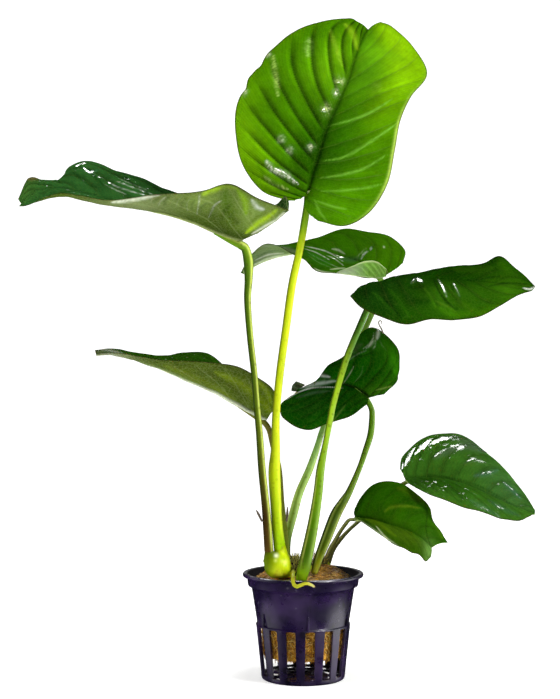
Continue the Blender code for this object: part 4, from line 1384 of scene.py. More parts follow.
UPPER_MIDDLE_LEAF = Leaf(
    "upper_middle_leaf",
    rows=[
        ((383, 276, 30), (386, 268, 16), (403, 263, 46)),
        ((374, 269, 30), (372, 277.5, 10), (405, 250, 56)), ((364, 263, 30), (352, 275, 4), (391, 237, 62)),
        ((350, 258, 31), (333, 273, 1), (369, 232, 64)), ((334, 254, 32), (316, 270, 1), (345, 228, 64)),
        ((318, 250.5, 33), (304, 260, 5), (321, 237, 60)),
        ((302, 250.5, 34), (292, 253, 9), (303, 241, 55)),
        ((284, 253.5, 34), (280, 247, 15), (283, 245, 49)),
        ((266, 259, 34), (264, 244, 21), (262, 247, 43)), ((252, 266, 33), (250, 256, 26), (249, 259, 38)),
        ((243, 273, 31), (242, 270, 30), (240.5, 273, 33)),
    ],
    arch=(0.06, 0.08),
    stalk=[
        ((288, 568, 4), 1.6), ((287, 555, 2.5), 1.6), ((287.7, 538, 2), 1.7), ((293, 515, 3), 2),
        ((299.5, 492, 5), 1.9), ((309.5, 469, 8), 1.8), ((317.5, 446, 13), 1.5), ((323.5, 427, 18), 1.4),
        ((342, 380, 29), 1.3), ((358, 345, 33), 1.3), ((370, 318, 34), 1.3), ((379, 297, 33), 1.4),
        ((383, 286, 32), 1.4),
    ],
    upper=(46, 98, 0), lower=(100, 136, 56),
    stalk_tones=[
        (0, (70, 96, 36)), (0.13, (92, 120, 42)), (0.23, (150, 182, 88)), (0.39, (122, 166, 80)),
        (0.6, (108, 150, 50)),
    ],
    light_and_shade_stripes=(
        Stripe(1.2, 0.3, (170, 170, 100), 0.7, 0, 0.3), Stripe(0.2, 0.3, (92, 116, 20), 0.8, 0.1, 0.3),
        Stripe(-0.8, 0.4, (192, 222, 130), 0.8, 0.15, 0.6),
    ),
    veins=Veins(8, (0.3, 0.3), 1.3, (0.35, 0.3), (0.3, 0.3)),
    patches=(
        Patch(0.5, 0.14, (0.7, 0.14), (56, 106, 1)), Patch(-0.5, 0.5, (0.5, 0.2), (44, 98, 10)),
        *on(Face.LOWER, Patch(0, 0.85, (1.5, 0.25), (106, 122, 88))),
    ),
    marks=(
        # painted light: the twelve marks from here on are painted highlights on the wet, crumpled near half,
        # except the dark one with a sunken lift, which is painted shade in a crease
        Mark(((304, 246), (318, 249), (330, 253), (344, 262)), 0.6, (214, 224, 202), 0.8, 0.2, 0.6),
        Mark(((304, 248.5), (316, 252.5), (330, 260)), 0.5, (206, 218, 190), 0.8, 0.2, 0.6),
        Mark(((326, 255), (335, 259), (344, 266)), 0.5, (180, 196, 160), 0.7, 0.2, 0.6),
        Mark(((306, 251.5), (316, 257), (328, 263), (340, 268)), 0.5, (150, 172, 128), 0.6, 0.2),
        Mark(((308, 255), (318, 262), (332, 268)), 0.5, (120, 156, 90), 0.6, 0.2),
        Mark(((332, 249), (338, 250), (345, 254)), 1.1, (176, 190, 156), 0.6, 0.5, 1),
        Mark(((331, 253), (338, 256), (345, 258)), 0.8, (120, 140, 92), 0.6, 0.4, 0.8),
        Mark(((374, 245), (371, 249), (366, 252), (362, 258)), 1.2, (34, 72, 10), 0.6, -0.4),
        Mark(((372, 247), (370, 250)), 0.7, (200, 212, 196), 0.8, 0.4, 1),
        Mark(((368, 251), (364, 254), (361, 259)), 0.7, (180, 194, 170), 0.7, 0.4, 1),
        Mark(((366, 248), (361, 253), (356, 258)), 0.6, (120, 146, 90), 0.6, 0.3, 0.8),
        Mark(((384, 247),), 0.9, (200, 214, 170), 0.7, 0.3, 1),
        Mark(((314, 268), (322, 271.5), (336, 273)), 0.6, (206, 218, 176)),
        *on(
            Face.LOWER, Mark(((253, 264.5), (268, 258), (284, 254.8), (297, 254)), 1, (226, 230, 216), 0.9),
            Mark(((254, 260), (268, 254), (284, 252)), 0.8, (196, 202, 184), 0.7),
            Mark(((256, 257), (268, 251), (282, 249.5), (296, 251)), 1.6, (76, 98, 62), 0.7),
            Mark(((262, 246), (272, 244), (284, 246)), 1.6, (116, 132, 104), 0.6),
        ),
        Mark(((279, 247), (288, 250), (297, 252.5)), 2.6, (116, 136, 96), 0.9),
        Mark(((306, 252), (316, 258), (330, 264)), 5, (30, 104, 14), 0.5),
        Mark(((340, 258), (350, 260), (360, 258)), 3, (52, 84, 54), 0.5),
        Mark(((330, 269.5), (338, 268.5), (346, 268)), 0.7, (196, 210, 160), 0.7),
        Mark(((308, 262), (322, 268)), 3, (30, 76, 4), 0.6),
    ),
    keel_tone=(190, 210, 150),
    flaps=(
        Flap(
            ((336, 273.2, 1.5), (352, 275.3, 3.5), (366, 277.2, 8), (378, 278.4, 11), (386, 276.5, 15)),
            ((340, 271, 3), (352, 266.5, 6), (364, 261.5, 9), (376, 261.5, 12), (386, 269, 16)),
            (112, 164, 60), (196, 220, 150), 1, 7, 0.25, 0.9,
        ),
    ),
    lobes=(1, 1), damp=0, seed=4,
)

UPPER_RIGHT_LEAF = Leaf(
    "upper_right_leaf",
    rows=[
        ((387, 282, -6), (374, 286, 14), (350, 296, -22)),
        ((400, 279, -6), (392, 281, 24), (362, 308, -34)),
        ((414, 277.5, -6), (416, 278, 29), (384, 318, -39)),
        ((430, 278, -6), (440, 270, 30), (408, 324, -41)),
        ((448, 279, -6), (463, 266, 29), (431, 319.5, -40)),
        ((466, 280, -6), (483, 263, 25), (455, 319.5, -37)),
        ((484, 281.5, -6), (500, 256.5, 19), (479, 317, -32)),
        ((502, 283, -7), (514, 266, 11), (501, 305, -25)), ((519, 285, -8), (527, 278, 2), (519, 295, -17)),
        ((534, 288.5, -9), (535, 286, -8), (532, 291, -10)),
    ],
    arch=(0.06, 0.1),
    stalk=[
        ((301.5, 578, -19.5), 2.6), ((305.5, 561, -19), 2.8), ((310.5, 538, -18), 2.6),
        ((314.7, 515, -17), 2.3), ((318, 492, -16), 2.1), ((320.5, 469, -15), 1.9), ((325, 446, -14), 1.4),
        ((329.5, 423, -13.5), 1.4), ((334.5, 399, -13), 1.4), ((346, 360, -11), 1.5),
        ((359, 328, -10), 1.5), ((369, 306, -7), 1.5), ((378, 293, -5), 1.4),
    ],
    upper=(16, 62, 0), lower=(66, 100, 34),
    stalk_tones=[
        (0, (142, 182, 14)), (0.035, (106, 144, 10)), (0.06, (72, 106, 6)), (0.09, (56, 86, 4)),
        (0.18, (86, 128, 8)), (0.28, (94, 136, 4)), (0.42, (150, 188, 34)), (0.53, (160, 198, 38)),
        (0.61, (78, 124, 36)), (0.7, (62, 106, 24)),
    ],
    light_and_shade_stripes=(
        Stripe(1.1, 0.5, (38, 56, 0), 0.9, 0.04, 0.6), Stripe(0.9, 0.6, (14, 42, 0), 0.9, 0.59),
        Stripe(0.75, 0.13, (188, 196, 90), 0.7, 0.05, 0.3), Stripe(0.1, 0.25, (48, 88, 0), 0.6, 0.06, 0.2),
        Stripe(-0.85, 0.4, (152, 188, 80), 0.8, 0.05, 0.5), Stripe(-0.85, 0.4, (132, 190, 92), 0.8, 0.56),
    ),
    veins=Veins(8, (0.3, 0.3), 1.3, (0.4, 0.45), (0.15, 0.2), (0.3, 0.35)),
    patches=(
        Patch(0.6, 0.1, (0.8, 0.2), (12, 50, 6)), Patch(0.3, 0.85, (1, 0.2), (58, 110, 8)),
        Patch(0.6, 0.5, (0.4, 0.2), (54, 104, 10), 0.6),
    ),
    marks=(
        # painted light: the greyish and pale wet marks on ridges are painted sheen, the near-white mark at the
        # tip is a painted glint, and the near-black marks with a sunken lift are painted shade in creases
        Mark(((411, 283), (417, 279), (423, 282)), 1.8, (90, 110, 84), 0.5, 0.7, 1),
        Mark(((407, 287), (415, 288), (424, 286)), 1.6, (8, 34, 4), 0.6, -0.6),
        Mark(((438, 279), (443, 287), (447, 297)), 1, (140, 166, 124), 0.7, 0.6, 1),
        Mark(((453, 282), (457, 290), (460, 297)), 1, (96, 128, 80), 0.6, 0.4, 0.8),
        Mark(((434, 281), (439, 291), (446, 301), (458, 311)), 1.4, (6, 34, 2), 0.8, -0.6),
        Mark(((450, 284), (455, 293)), 1.2, (8, 40, 2), 0.6, -0.4),
        Mark(((436, 301), (446, 306), (456, 312)), 1.2, (80, 130, 20), 0.5, 0.4),
        Mark(((486, 287), (506, 283), (526, 284)), 1.2, (14, 52, 4), 0.6, -0.3),
        Mark(((523, 288), (530, 289), (536, 286)), 1, (226, 234, 214), 0.9, 0.3, 1),
        Mark(((462, 303), (480, 314), (500, 306)), 5, (60, 112, 2), 0.5),
        Mark(((440, 308), (452, 314), (470, 314)), 4, (60, 120, 4), 0.6),
        Mark(((405, 296), (420, 302), (432, 300)), 5, (8, 48, 2), 0.7),
        Mark(((455, 270), (475, 270), (492, 268)), 4, (44, 88, 4), 0.6),
        Mark(((372, 292), (382, 300), (396, 314)), 2.2, (36, 88, 8), 0.5, 0.3),
        Mark(((388, 288), (398, 300), (410, 318)), 2.2, (40, 94, 6), 0.5, 0.3),
        Mark(((380, 294), (391, 306), (402, 318)), 1.6, (4, 32, 2), 0.6, -0.3),
        Mark(((424, 288), (430, 296), (436, 308)), 1.8, (56, 110, 8), 0.5, 0.3),
        Mark(((466, 280), (480, 279), (500, 276)), 1.4, (10, 44, 4), 0.6, -0.3),
        Mark(((500, 262), (512, 272)), 5, (46, 96, 2), 0.5),
    ),
    lobes=(0.8, 1.2), damp=0, seed=5,
)

CENTRE_LEAF = Leaf(
    "centre_leaf",
    rows=[
        ((369, 398, 13), (366, 405, 9), (384, 394.5, 19)),
        ((361, 391, 12), (352, 415.5, 3), (397, 381, 24)),
        ((353, 385.5, 11), (338, 420.5, 0), (400, 364, 26)),
        ((345, 383, 9), (325, 424.5, -2), (397, 348, 26)),
        ((337, 383.5, 7), (311, 430, -4), (378, 328.5, 24)),
        ((329, 385, 5), (298, 428, -5), (364, 331, 21)), ((321, 386.5, 3), (288, 422, -6), (345, 354, 16)),
        ((312, 388.5, 1), (281, 415, -6), (328, 365.5, 10)),
        ((304, 391, -1), (281, 404, -5), (318, 379, 5)), ((295, 394, -3), (289, 397, -4), (298, 389, 0)),
    ],
    arch=(0.08, 0.1),
    stalk=[
        ((314.5, 572, -9), 1.6), ((319.5, 556, -7), 2), ((326.5, 538, -5), 2.4), ((335.5, 515, -1), 2.5),
        ((343, 502, 1), 2.1), ((349.5, 491, 3), 1.6), ((359, 469, 7), 1.3), ((365, 452, 9), 1.4),
        ((370.5, 434, 11), 1.5), ((372, 416, 13), 1.4), ((371, 408, 14), 1.3),
    ],
    upper=(8, 70, 0), lower=(60, 90, 30),
    stalk_tones=[
        (0, (160, 160, 40)), (0.04, (128, 140, 14)), (0.1, (86, 108, 6)), (0.2, (66, 92, 2)),
        (0.35, (80, 106, 14)), (0.45, (86, 116, 24)), (0.6, (80, 124, 10)), (0.75, (86, 132, 10)),
    ],
    light_and_shade_stripes=(
        Stripe(1.1, 0.45, (24, 42, 0), 0.85), Stripe(0.6, 0.16, (172, 184, 90), 0.75, 0.04, 0.3),
        Stripe(0.1, 0.3, (30, 46, 0), 0.6, 0.07, 0.3), Stripe(-0.95, 0.3, (190, 206, 110), 0.75, 0.04, 0.3),
        Stripe(-0.85, 0.35, (150, 188, 84), 0.8, 0.32), Stripe(-1.3, 0.3, (40, 52, 8), 0.7, 0, 0.32),
    ),
    veins=Veins(8, (0.3, 0.3), 1.3, (0.4, 0.5), (0.1, 0.1), (0.3, 0.4)),
    patches=(
        Patch(0.8, 0.3, (0.3, 0.3), (40, 106, 8)), Patch(0.3, 0.05, (0.8, 0.12), (44, 88, 8), 0.7),
        Patch(-0.5, 0.6, (0.5, 0.3), (14, 58, 6)),
    ),
    marks=(
        # painted light: the near-white line along the fold (first mark), the grey-white glare beside it (second)
        # and the pale glare below (fifth) are painted highlights; the near-black marks with a sunken lift are
        # painted shade in creases
        Mark(
            ((286, 400), (297, 393), (310, 388.5), (326, 387), (343, 388)), 0.7, (226, 230, 224), 0.9, 0.2,
            0.6,
        ),
        Mark(((299, 388), (316, 384), (336, 381)), 2, (150, 158, 150), 0.7, 0, 0.4),
        Mark(((304, 384.5), (318, 380.5), (334, 377)), 0.6, (40, 64, 36), 0.6),
        Mark(((296, 398), (312, 393), (330, 391)), 1.6, (70, 96, 70), 0.5),
        Mark(((308, 376), (318, 375), (330, 377)), 1.6, (190, 196, 190), 0.7, 0.2, 0.4),
        Mark(((316, 371), (324, 366), (334, 360)), 0.8, (160, 174, 156), 0.6, 0.3, 0.4),
        Mark(((341, 345), (334, 356), (324, 366), (313, 376)), 0.6, (190, 198, 188), 0.7, 0.4, 0.4),
        Mark(((377, 331), (375, 340), (370, 347)), 1, (120, 142, 106), 0.7, 0.5, 0.6),
        Mark(((374, 333), (372, 342), (366, 349)), 0.6, (196, 206, 188), 0.7, 0.5, 0.6),
        Mark(((367, 350), (356, 355), (344, 364)), 0.6, (120, 144, 108), 0.6, 0.4, 0.4),
        Mark(((378.5, 329), (378, 334), (377, 339)), 1.6, (206, 214, 200), 0.8, 0.4, 0.6),
        Mark(((374, 337), (370, 343), (363, 349)), 0.5, (176, 190, 160), 0.7, 0.3, 0.3),
        Mark(((376, 340), (375, 346), (372, 351)), 0.5, (150, 168, 132), 0.7, 0.3, 0.3),
        Mark(((379, 338), (382, 345), (386, 350)), 0.6, (96, 124, 80), 0.6, 0.3, 0.3),
        Mark(((362, 344), (355, 349), (346, 360)), 3, (72, 96, 56), 0.5),
        Mark(((392, 372), (388, 380), (383, 384)), 2, (34, 92, 6), 0.6, 0.4),
        Mark(((392, 386), (385, 388), (376, 390)), 1, (120, 150, 60), 0.6, 0.3),
        Mark(((372, 352), (362, 356), (352, 354)), 0.9, (6, 34, 2), 0.7, -0.4),
        Mark(((354, 366), (349, 375), (343, 384)), 0.6, (150, 170, 130), 0.6, 0.4, 0.2),
        Mark(((363, 366), (361, 374), (355, 382)), 0.5, (90, 120, 70), 0.5, 0.3, 0.2),
        Mark(((344, 384), (356, 388), (366, 394), (372, 401)), 1.5, (4, 20, 2), 0.9, -0.4),
        Mark(((346, 404), (340, 412), (334, 420)), 0.9, (90, 118, 50), 0.5, 0.3),
        Mark(((384, 340), (393, 356), (397, 376)), 5, (52, 130, 6), 0.7),
        Mark(((284, 406), (290, 416), (300, 424)), 4, (2, 62, 2), 0.6),
    ),
    nicks=(Nick(1, 0.15, 0.02, 0.6),),
    flaps=(
        Flap(
            ((291.5, 391, 4), (292.5, 386, 5), (296, 381.5, 6)),
            ((298, 391.5, 3), (301, 388, 4), (305, 385, 5)), (66, 84, 60), (40, 60, 36), 0.5, 2,
        ),
    ),
    damp=0, seed=6,
)

RIGHT_LEAF = Leaf(
    "right_leaf",
    rows=[
        ((405, 479, 19), (400, 469, 28), (409, 484, 10)),
        ((415, 477.5, 18), (402, 457, 37), (422, 491, -2)),
        ((427, 477, 17), (413, 445.5, 42), (439, 498, -10)),
        ((441, 478, 15), (431, 435, 45), (456, 504.5, -15)),
        ((456, 481, 12), (452, 433, 45), (473, 509.5, -17)),
        ((472, 487, 9), (471, 440.5, 42), (490, 515, -18)),
        ((488, 494, 6), (490, 455, 36), (505, 519, -17)),
        ((504, 501.5, 4), (508, 473, 28), (518, 521, -12)),
        ((520, 508.5, 2), (523, 491, 17), (528, 517, -6)),
        ((535, 513.5, 0), (535, 510, 3), (533, 514.5, -2)),
    ],
    arch=(0.12, 0.1),
    stalk=[
        ((328.5, 562.5, 9), 1.2), ((333, 550, 12), 1.1), ((340, 540, 14), 1), ((348, 531, 16), 0.9),
        ((359, 521, 19), 0.9), ((374, 508.5, 21), 0.9), ((388, 497, 21), 0.9), ((399, 487, 20), 1),
    ],
    upper=(58, 108, 28), lower=(96, 130, 50),
    stalk_tones=[(0, (84, 78, 30)), (0.4, (70, 78, 20)), (1, (84, 116, 24))],
    light_and_shade_stripes=(Stripe(0.5, 0.35, (180, 176, 104), 0.6, 0, 0.8), Stripe(-0.8, 0.4, (40, 44, 14), 0.6, 0, 0.8)),
    veins=Veins(9, (0.3, 0.3), 1.3, (0.45, 0.3), (0.2, 0.25), (0.35, 0.3)),
    patches=(Patch(0.4, 0.3, (0.4, 0.3), (28, 78, 4)), Patch(-0.3, 0.8, (0.6, 0.2), (62, 106, 56), 0.6)),
    marks=(
        Mark(((402, 468), (412, 453), (428, 443), (448, 437)), 4, None, 0, 0, 1),
        # painted sheen: these seven grey-green wet bands on the upper half
        Mark(((434, 458), (450, 450), (466, 446), (486, 452)), 4, (86, 100, 84), 0.5, 0.3, 1),
        Mark(((440, 437), (462, 439), (478, 447)), 3, (80, 96, 76), 0.5, 0.2, 1),
        Mark(((464, 464), (474, 460), (487, 463)), 2.2, (70, 100, 60), 0.5, 0.4, 1),
        Mark(((474, 476), (486, 474), (498, 470)), 2.4, (70, 110, 90), 0.5, 0.4, 1),
        Mark(((503, 482), (512, 490), (521, 499)), 2.2, (60, 104, 84), 0.5, 0.4, 1),
        Mark(((488, 500), (504, 509), (520, 516)), 2.5, (58, 104, 74), 0.4, 0.3, 0.8),
        Mark(((470, 500), (484, 508), (500, 517)), 3, (64, 112, 66), 0.5, 0, 0.6),
        # painted shade in a crease
        Mark(((447, 484), (456, 492), (464, 500)), 1.4, (30, 70, 14), 0.5, -0.3),
        Mark(((424, 474), (446, 477), (474, 484), (500, 497), (524, 512)), 1.2, (14, 46, 4), 0.6),
    ),
    damp=0.3, seed=7,
)

LOW_RIGHT_LEAF = Leaf(
    "low_right_leaf",
    rows=[
        ((354, 517, 2), (355, 508.5, 6), (361, 521.5, -5)),
        ((362, 517.5, -1), (362, 495, 10), (373, 530, -14)),
        ((371, 519, -4), (374, 484.5, 13), (385, 538, -21)),
        ((381, 521.5, -7), (387, 480.5, 13), (395, 545, -26)),
        ((391, 524.5, -10), (402, 484.5, 12), (404, 548.5, -30)),
        ((401, 527.5, -13), (417, 493, 9), (411, 552, -33)),
        ((411, 531.5, -17), (428, 505.5, 3), (418, 554.5, -34)),
        ((420, 536.5, -20), (433, 520, -5), (423, 558, -34)),
        ((427, 542, -23), (441, 532.5, -12), (426, 561.5, -33)),
        ((431.5, 547, -25), (448, 542.5, -19), (431, 557, -31)),
    ],
    arch=(0.14, 0.12),
    stalk=[
        ((324.5, 564.5, 3.5), 1.2), ((330, 550, 4), 1.1), ((335, 541, 4), 1), ((340, 532, 4), 0.9),
        ((346, 523.5, 3.5), 0.9), ((349.6, 519.8, 3), 0.8),
    ],
    upper=(34, 84, 0), lower=(104, 140, 52),
    stalk_tones=[(0, (90, 84, 30)), (0.5, (84, 92, 26)), (1, (96, 122, 28))],
    light_and_shade_stripes=(Stripe(0.5, 0.35, (190, 190, 120), 0.6, 0, 0.8), Stripe(-0.8, 0.4, (44, 48, 14), 0.6, 0, 0.8)),
    veins=Veins(7, (0.25, 0.25), 1.3, (0.3, 0.3), (0.15, 0.3)),
    patches=(
        Patch(0.5, 0.5, (0.5, 0.6), (70, 100, 12)), Patch(0.5, 0.95, (0.6, 0.15), (124, 172, 78)),
        Patch(-0.6, 0.8, (0.5, 0.2), (48, 92, 10), 0.7),
    ),
    marks=(
        Mark(((415, 494), (420, 500)), 4, (70, 60, 30), 0.4),
        Mark(((360, 520), (380, 534), (400, 547)), 1, (190, 206, 160), 0.6, 0, 0.6),
        Mark(((384, 512), (392, 507), (406, 506), (420, 508)), 1.6, (96, 124, 20), 0.6, 0.4),
        Mark(((376, 526), (386, 538), (398, 550)), 0.9, (206, 220, 170), 0.7, 0.3, 0.4),
        Mark(((366, 519), (380, 524), (396, 536)), 2.4, (90, 126, 10), 0.6),
        Mark(((398, 488), (414, 494), (428, 506)), 4, (74, 100, 10), 0.5),
        # painted shade in a crease
        Mark(((424, 499), (427, 514), (426, 530), (430, 545)), 0.8, (26, 56, 4), 0.7, -0.4),
        Mark(((430, 508), (436, 522), (442, 538)), 3, (78, 122, 14), 0.5, 0.3),
        Mark(((404, 520), (414, 528), (422, 540)), 4, (46, 92, 4), 0.5),
    ),
    damp=0, seed=8,
)

LEAVES = [
    TOP_LEAF, UPPER_LEFT_LEAF, LOWER_LEFT_LEAF, UPPER_MIDDLE_LEAF,
    UPPER_RIGHT_LEAF, CENTRE_LEAF, RIGHT_LEAF, LOW_RIGHT_LEAF,
]


@dataclass
class DriedCurl:
    """The thin dried thread that curls up from the centre leaf's margin."""

    name: str = "centre_leaf_dried_curl"
    route: tuple[Sighting, ...] = (
        (383, 333, 23.4),
        (381.5, 329, 23),
        (379.5, 325.5, 22.6),
        (378.6, 322.3, 22.2),
        (380.2, 320.6, 22),
        (381.8, 322, 22),
        (381.2, 323.8, 22.2),
    )
    radius: float = 0.24
    tone: Tone = (128, 120, 100)

    def build(self, finish: Finish) -> None:
        """Build the thread."""
        stops = sighted(self.route)
        radii = np.linspace(1.6, 0.7, len(stops)) * self.radius
        thread, _, _ = tube(self.name, stops, radii, 48, 10)
        paint(thread, np.tile(linear(self.tone), (len(points_of(thread)), 1)))
        close_seams(thread)
        hand_over(thread, [finish], Slot.DEAD)


@dataclass
class NetPot:
    """The slotted net pot: rolled rim, collar, tapered wall, slotted lower wall and base grid."""

    height: float = 48.0
    rim_radius: float = 27.5
    collar_radius: float = 25.4
    collar_foot: float = 42.2
    wall_top_radius: float = 23.4
    wall_foot_radius: float = 20.9
    wall_foot: float = 25.3
    slotted_top_radius: float = 21.5
    base_radius: float = 18.9
    wall: float = 0.9
    floor: float = 1.2
    steps: int = 180
    slots: int = 15
    first_slot_deg: float = 8.0
    slot_width: float = 4.4
    slot_foot: float = 2.2
    slot_top: float = 24.3
    base_openings: int = 8
    base_bar: float = 2.2
    base_rings: tuple[tuple[float, float], ...] = ((4.6, 9.0), (11.4, 16.0))
    ribs: int = 6
    first_rib_deg: float = 5.4
    edge: float = 0.14

    def profile(self) -> list[tuple[float, float]]:
        """List the shell's outline as (radius, height), from inside the floor to under it."""
        top, rim, collar = self.height, self.rim_radius, self.collar_radius
        return [
            (0.8, self.floor),
            (self.base_radius - self.wall - 0.7, self.floor),
            (self.base_radius - self.wall - 0.1, self.floor + 0.5),
            (self.slotted_top_radius - self.wall - 0.4, self.wall_foot - 1.4),
            (self.wall_foot_radius - self.wall, self.wall_foot),
            (self.wall_top_radius - self.wall, self.collar_foot),
            (collar - self.wall - 0.5, self.collar_foot + 0.7),
            (collar - self.wall - 0.2, self.collar_foot + 1.2),
            (collar - 0.1, top - 0.5),
            (collar + 0.05, top - 0.12),
            (collar + 0.4, top),
            (rim - 0.8, top),
            (rim - 0.35, top - 0.12),
            (rim - 0.08, top - 0.4),
            (rim, top - 0.8),
            (rim - 0.05, top - 1.25),
            (rim - 0.3, top - 1.6),
            (rim - 0.7, top - 1.7),
            (collar + 0.35, top - 1.75),
            (collar + 0.1, top - 2.0),
            (collar - 0.25, self.collar_foot + 0.5),
            (collar - 0.45, self.collar_foot + 0.05),
            (self.wall_top_radius + 0.35, self.collar_foot - 0.55),
            (self.wall_top_radius, self.collar_foot - 1.0),
            (self.wall_foot_radius, self.wall_foot + 0.1),
            (self.wall_foot_radius + 0.1, self.wall_foot - 0.1),
            (self.slotted_top_radius - 0.1, self.wall_foot - 0.4),
            (self.slotted_top_radius, self.wall_foot - 0.7),
            (self.base_radius + 0.1, 0.9),
            (self.base_radius - 0.1, 0.35),
            (self.base_radius - 0.6, 0.0),
            (0.8, 0.0),
        ]

    def turn_shell(self) -> Piece:
        """Extrude and widen a circle along the outline, and close both middles."""
        profile = self.profile()
        bpy.ops.object.select_all(action="DESELECT")
        bpy.ops.mesh.primitive_circle_add(vertices=self.steps, radius=profile[0][0] * MM)
        shell = bpy.context.object
        shell.name = shell.data.name = "net_pot_shell"
        edit(shell)
        bpy.ops.transform.translate(value=(0, 0, profile[0][1] * MM))
        bpy.ops.mesh.edge_face_add()
        for (r0, z0), (r1, z1) in zip(profile, profile[1:]):
            bpy.ops.mesh.extrude_edges_move(TRANSFORM_OT_translate={"value": (0, 0, (z1 - z0) * MM)})
            grow = (r1 / r0, r1 / r0, 1)
            bpy.ops.transform.resize(value=grow, center_override=(0, 0, 0))
        bpy.ops.mesh.edge_face_add()
        bpy.ops.mesh.select_all(action="SELECT")
        bpy.ops.mesh.normals_make_consistent(inside=False)
        leave_edit()
        return shell

    def block(self, name: str, size: Sequence[float], place: Sequence[float], round_by: float) -> Piece:
        """Add a block with rounded upright edges at a place in front of the pot's axis."""
        bpy.ops.object.select_all(action="DESELECT")
        middle, sides = [p * MM for p in place], [s * MM for s in size]
        bpy.ops.mesh.primitive_cube_add(size=1.0, location=middle, scale=sides)
        made = bpy.context.object
        made.name = name
        settle(made)
        edit(made)
        bpy.ops.mesh.bevel(offset=round_by * MM, segments=3, affect="EDGES")
        leave_edit()
        return made

    def ring_of(self, first: Piece, count: int, first_deg: float) -> Piece:
        """Copy a piece evenly round the pot's axis and join the copies."""
        copies = []
        for k in range(count):
            pick_only(first)
            bpy.ops.object.duplicate()
            copy = bpy.context.object
            copy.matrix_world = Matrix.Rotation(radians(first_deg + k * 360.0 / count), 4, "Z")
            settle(copy)
            copies.append(copy)
        bpy.data.objects.remove(first)
        return joined("ring", copies)

    def sector(self, inner: float, outer: float) -> Piece:
        """Spin a small rectangle into one curved opening of the base."""
        pitch = 2 * pi / self.base_openings
        bar = self.base_bar / (inner + outer) * 2
        middle = (inner + outer) / 2
        bpy.ops.object.select_all(action="DESELECT")
        location = (middle * MM, 0, 0.5 * self.floor * MM)
        bpy.ops.mesh.primitive_plane_add(size=1.0, rotation=(pi / 2, 0, 0), location=location)
        made = bpy.context.object
        made.scale = ((outer - inner) * MM, 3 * self.floor * MM, 1)
        settle(made)
        made.matrix_world = Matrix.Rotation(bar / 2, 4, "Z")
        settle(made)
        edit(made)
        bpy.ops.mesh.spin(steps=8, angle=pitch - bar, center=(0, 0, 0), axis=(0, 0, 1))
        bpy.ops.mesh.select_all(action="SELECT")
        bpy.ops.mesh.normals_make_consistent(inside=False)
        leave_edit()
        return made

    def cut(self, shell: Piece, tool: Piece, operation: str) -> None:
        """Cut a tool from the shell, or grow the shell by it, and remove the tool."""
        apply_modifier(shell, "BOOLEAN", operation=operation, solver="EXACT", object=tool)
        bpy.data.objects.remove(tool)

    def build(self, outside: Finish, inside: Finish) -> None:
        """Build the pot, its inside faces with a darker finish of their own, which is painted shade."""
        shell = self.turn_shell()
        rib = self.block("rib", (0.6, 1.8, 6.0), (0, -self.slotted_top_radius + 0.2, 28.2), 0.18)
        self.cut(shell, self.ring_of(rib, self.ribs, self.first_rib_deg), "UNION")
        tall = self.slot_top - self.slot_foot
        slot = self.block("slot", (self.slot_width, 8.0, tall), (0, -19.5, self.slot_foot + tall / 2), 0.45)
        self.cut(shell, self.ring_of(slot, self.slots, self.first_slot_deg), "DIFFERENCE")
        for inner, outer in self.base_rings:
            opening = self.ring_of(self.sector(inner, outer), self.base_openings, 0.0)
            self.cut(shell, opening, "DIFFERENCE")
        width, bend = self.edge * MM, radians(50)
        apply_modifier(shell, "BEVEL", width=width, segments=2, limit_method="ANGLE", angle_limit=bend)
        faces = shell.data.polygons
        facing, middle = np.empty((2, len(faces), 3), np.float32)
        faces.foreach_get("normal", facing.ravel())
        faces.foreach_get("center", middle.ravel())
        # faces that look inwards get the darker finish: painted shade
        inward = (facing[:, :2] * unit(middle[:, :2])).sum(axis=1) < -0.3
        faces.foreach_set("material_index", inward.astype(np.int32))
        hand_over(shell, [outside, inside], Slot.POT, "net_pot", crease=40)


def strands(
    name: str,
    roots: Array,
    ways: Array,
    bends: Array,
    lengths: Array,
    radius: float,
    tones: Array,
) -> Piece:
    """Make one piece of many fine fibres, each a bent line with three sides.

    Args:
        name: The piece's name.
        roots: Where each fibre starts, in millimetres.
        ways: The direction in which each sets out.
        bends: The direction in which each bends away.
        lengths: How long each is.
        radius: How thick they are at the middle.
        tones: One linear colour a fibre.

    Returns:
        The piece.
    """
    stops, sides = 5, 3
    t = np.linspace(0, 1, stops)
    run = lengths[:, None, None] * t[None, :, None]
    reach = np.maximum(lengths, 1e-6)[:, None, None]
    line = roots[:, None] + ways[:, None] * run + bends[:, None] * run**2 / reach
    ahead = unit(np.gradient(line, axis=1))
    across = unit(np.cross(ahead, bends[:, None] + np.array([0.013, 0.021, 0.017])))
    other = np.cross(ahead, across)
    thick = radius * np.array([0.55, 1.0, 1.0, 0.9, 0.3])[None, :, None]
    rings = []
    for k in range(sides):
        turn = 2 * pi * k / sides
        rings.append(line + thick * (across * cos(turn) + other * sin(turn)))
    points = np.stack(rings, axis=2).reshape(-1, 3)
    faces = []
    for s in range(stops - 1):
        for k in range(sides):
            n = (k + 1) % sides
            faces.append((s * sides + k, s * sides + n, (s + 1) * sides + n, (s + 1) * sides + k))
    block = np.array(faces)
    first, last = np.array([[2, 1, 0]]), np.array([[0, 1, 2]]) + (stops - 1) * sides
    start = (np.arange(len(roots)) * stops * sides)[:, None, None]
    quads = (block[None] + start).reshape(-1, 4)
    ends = (np.vstack([first, last])[None] + start).reshape(-1, 3)
    mesh = bpy.data.meshes.new(name)
    mesh.from_pydata((points * MM).tolist(), [], quads.tolist() + ends.tolist())
    made = bpy.data.objects.new(name, mesh)
    bpy.context.scene.collection.objects.link(made)
    paint(made, np.repeat(tones, stops * sides, axis=0))
    return made


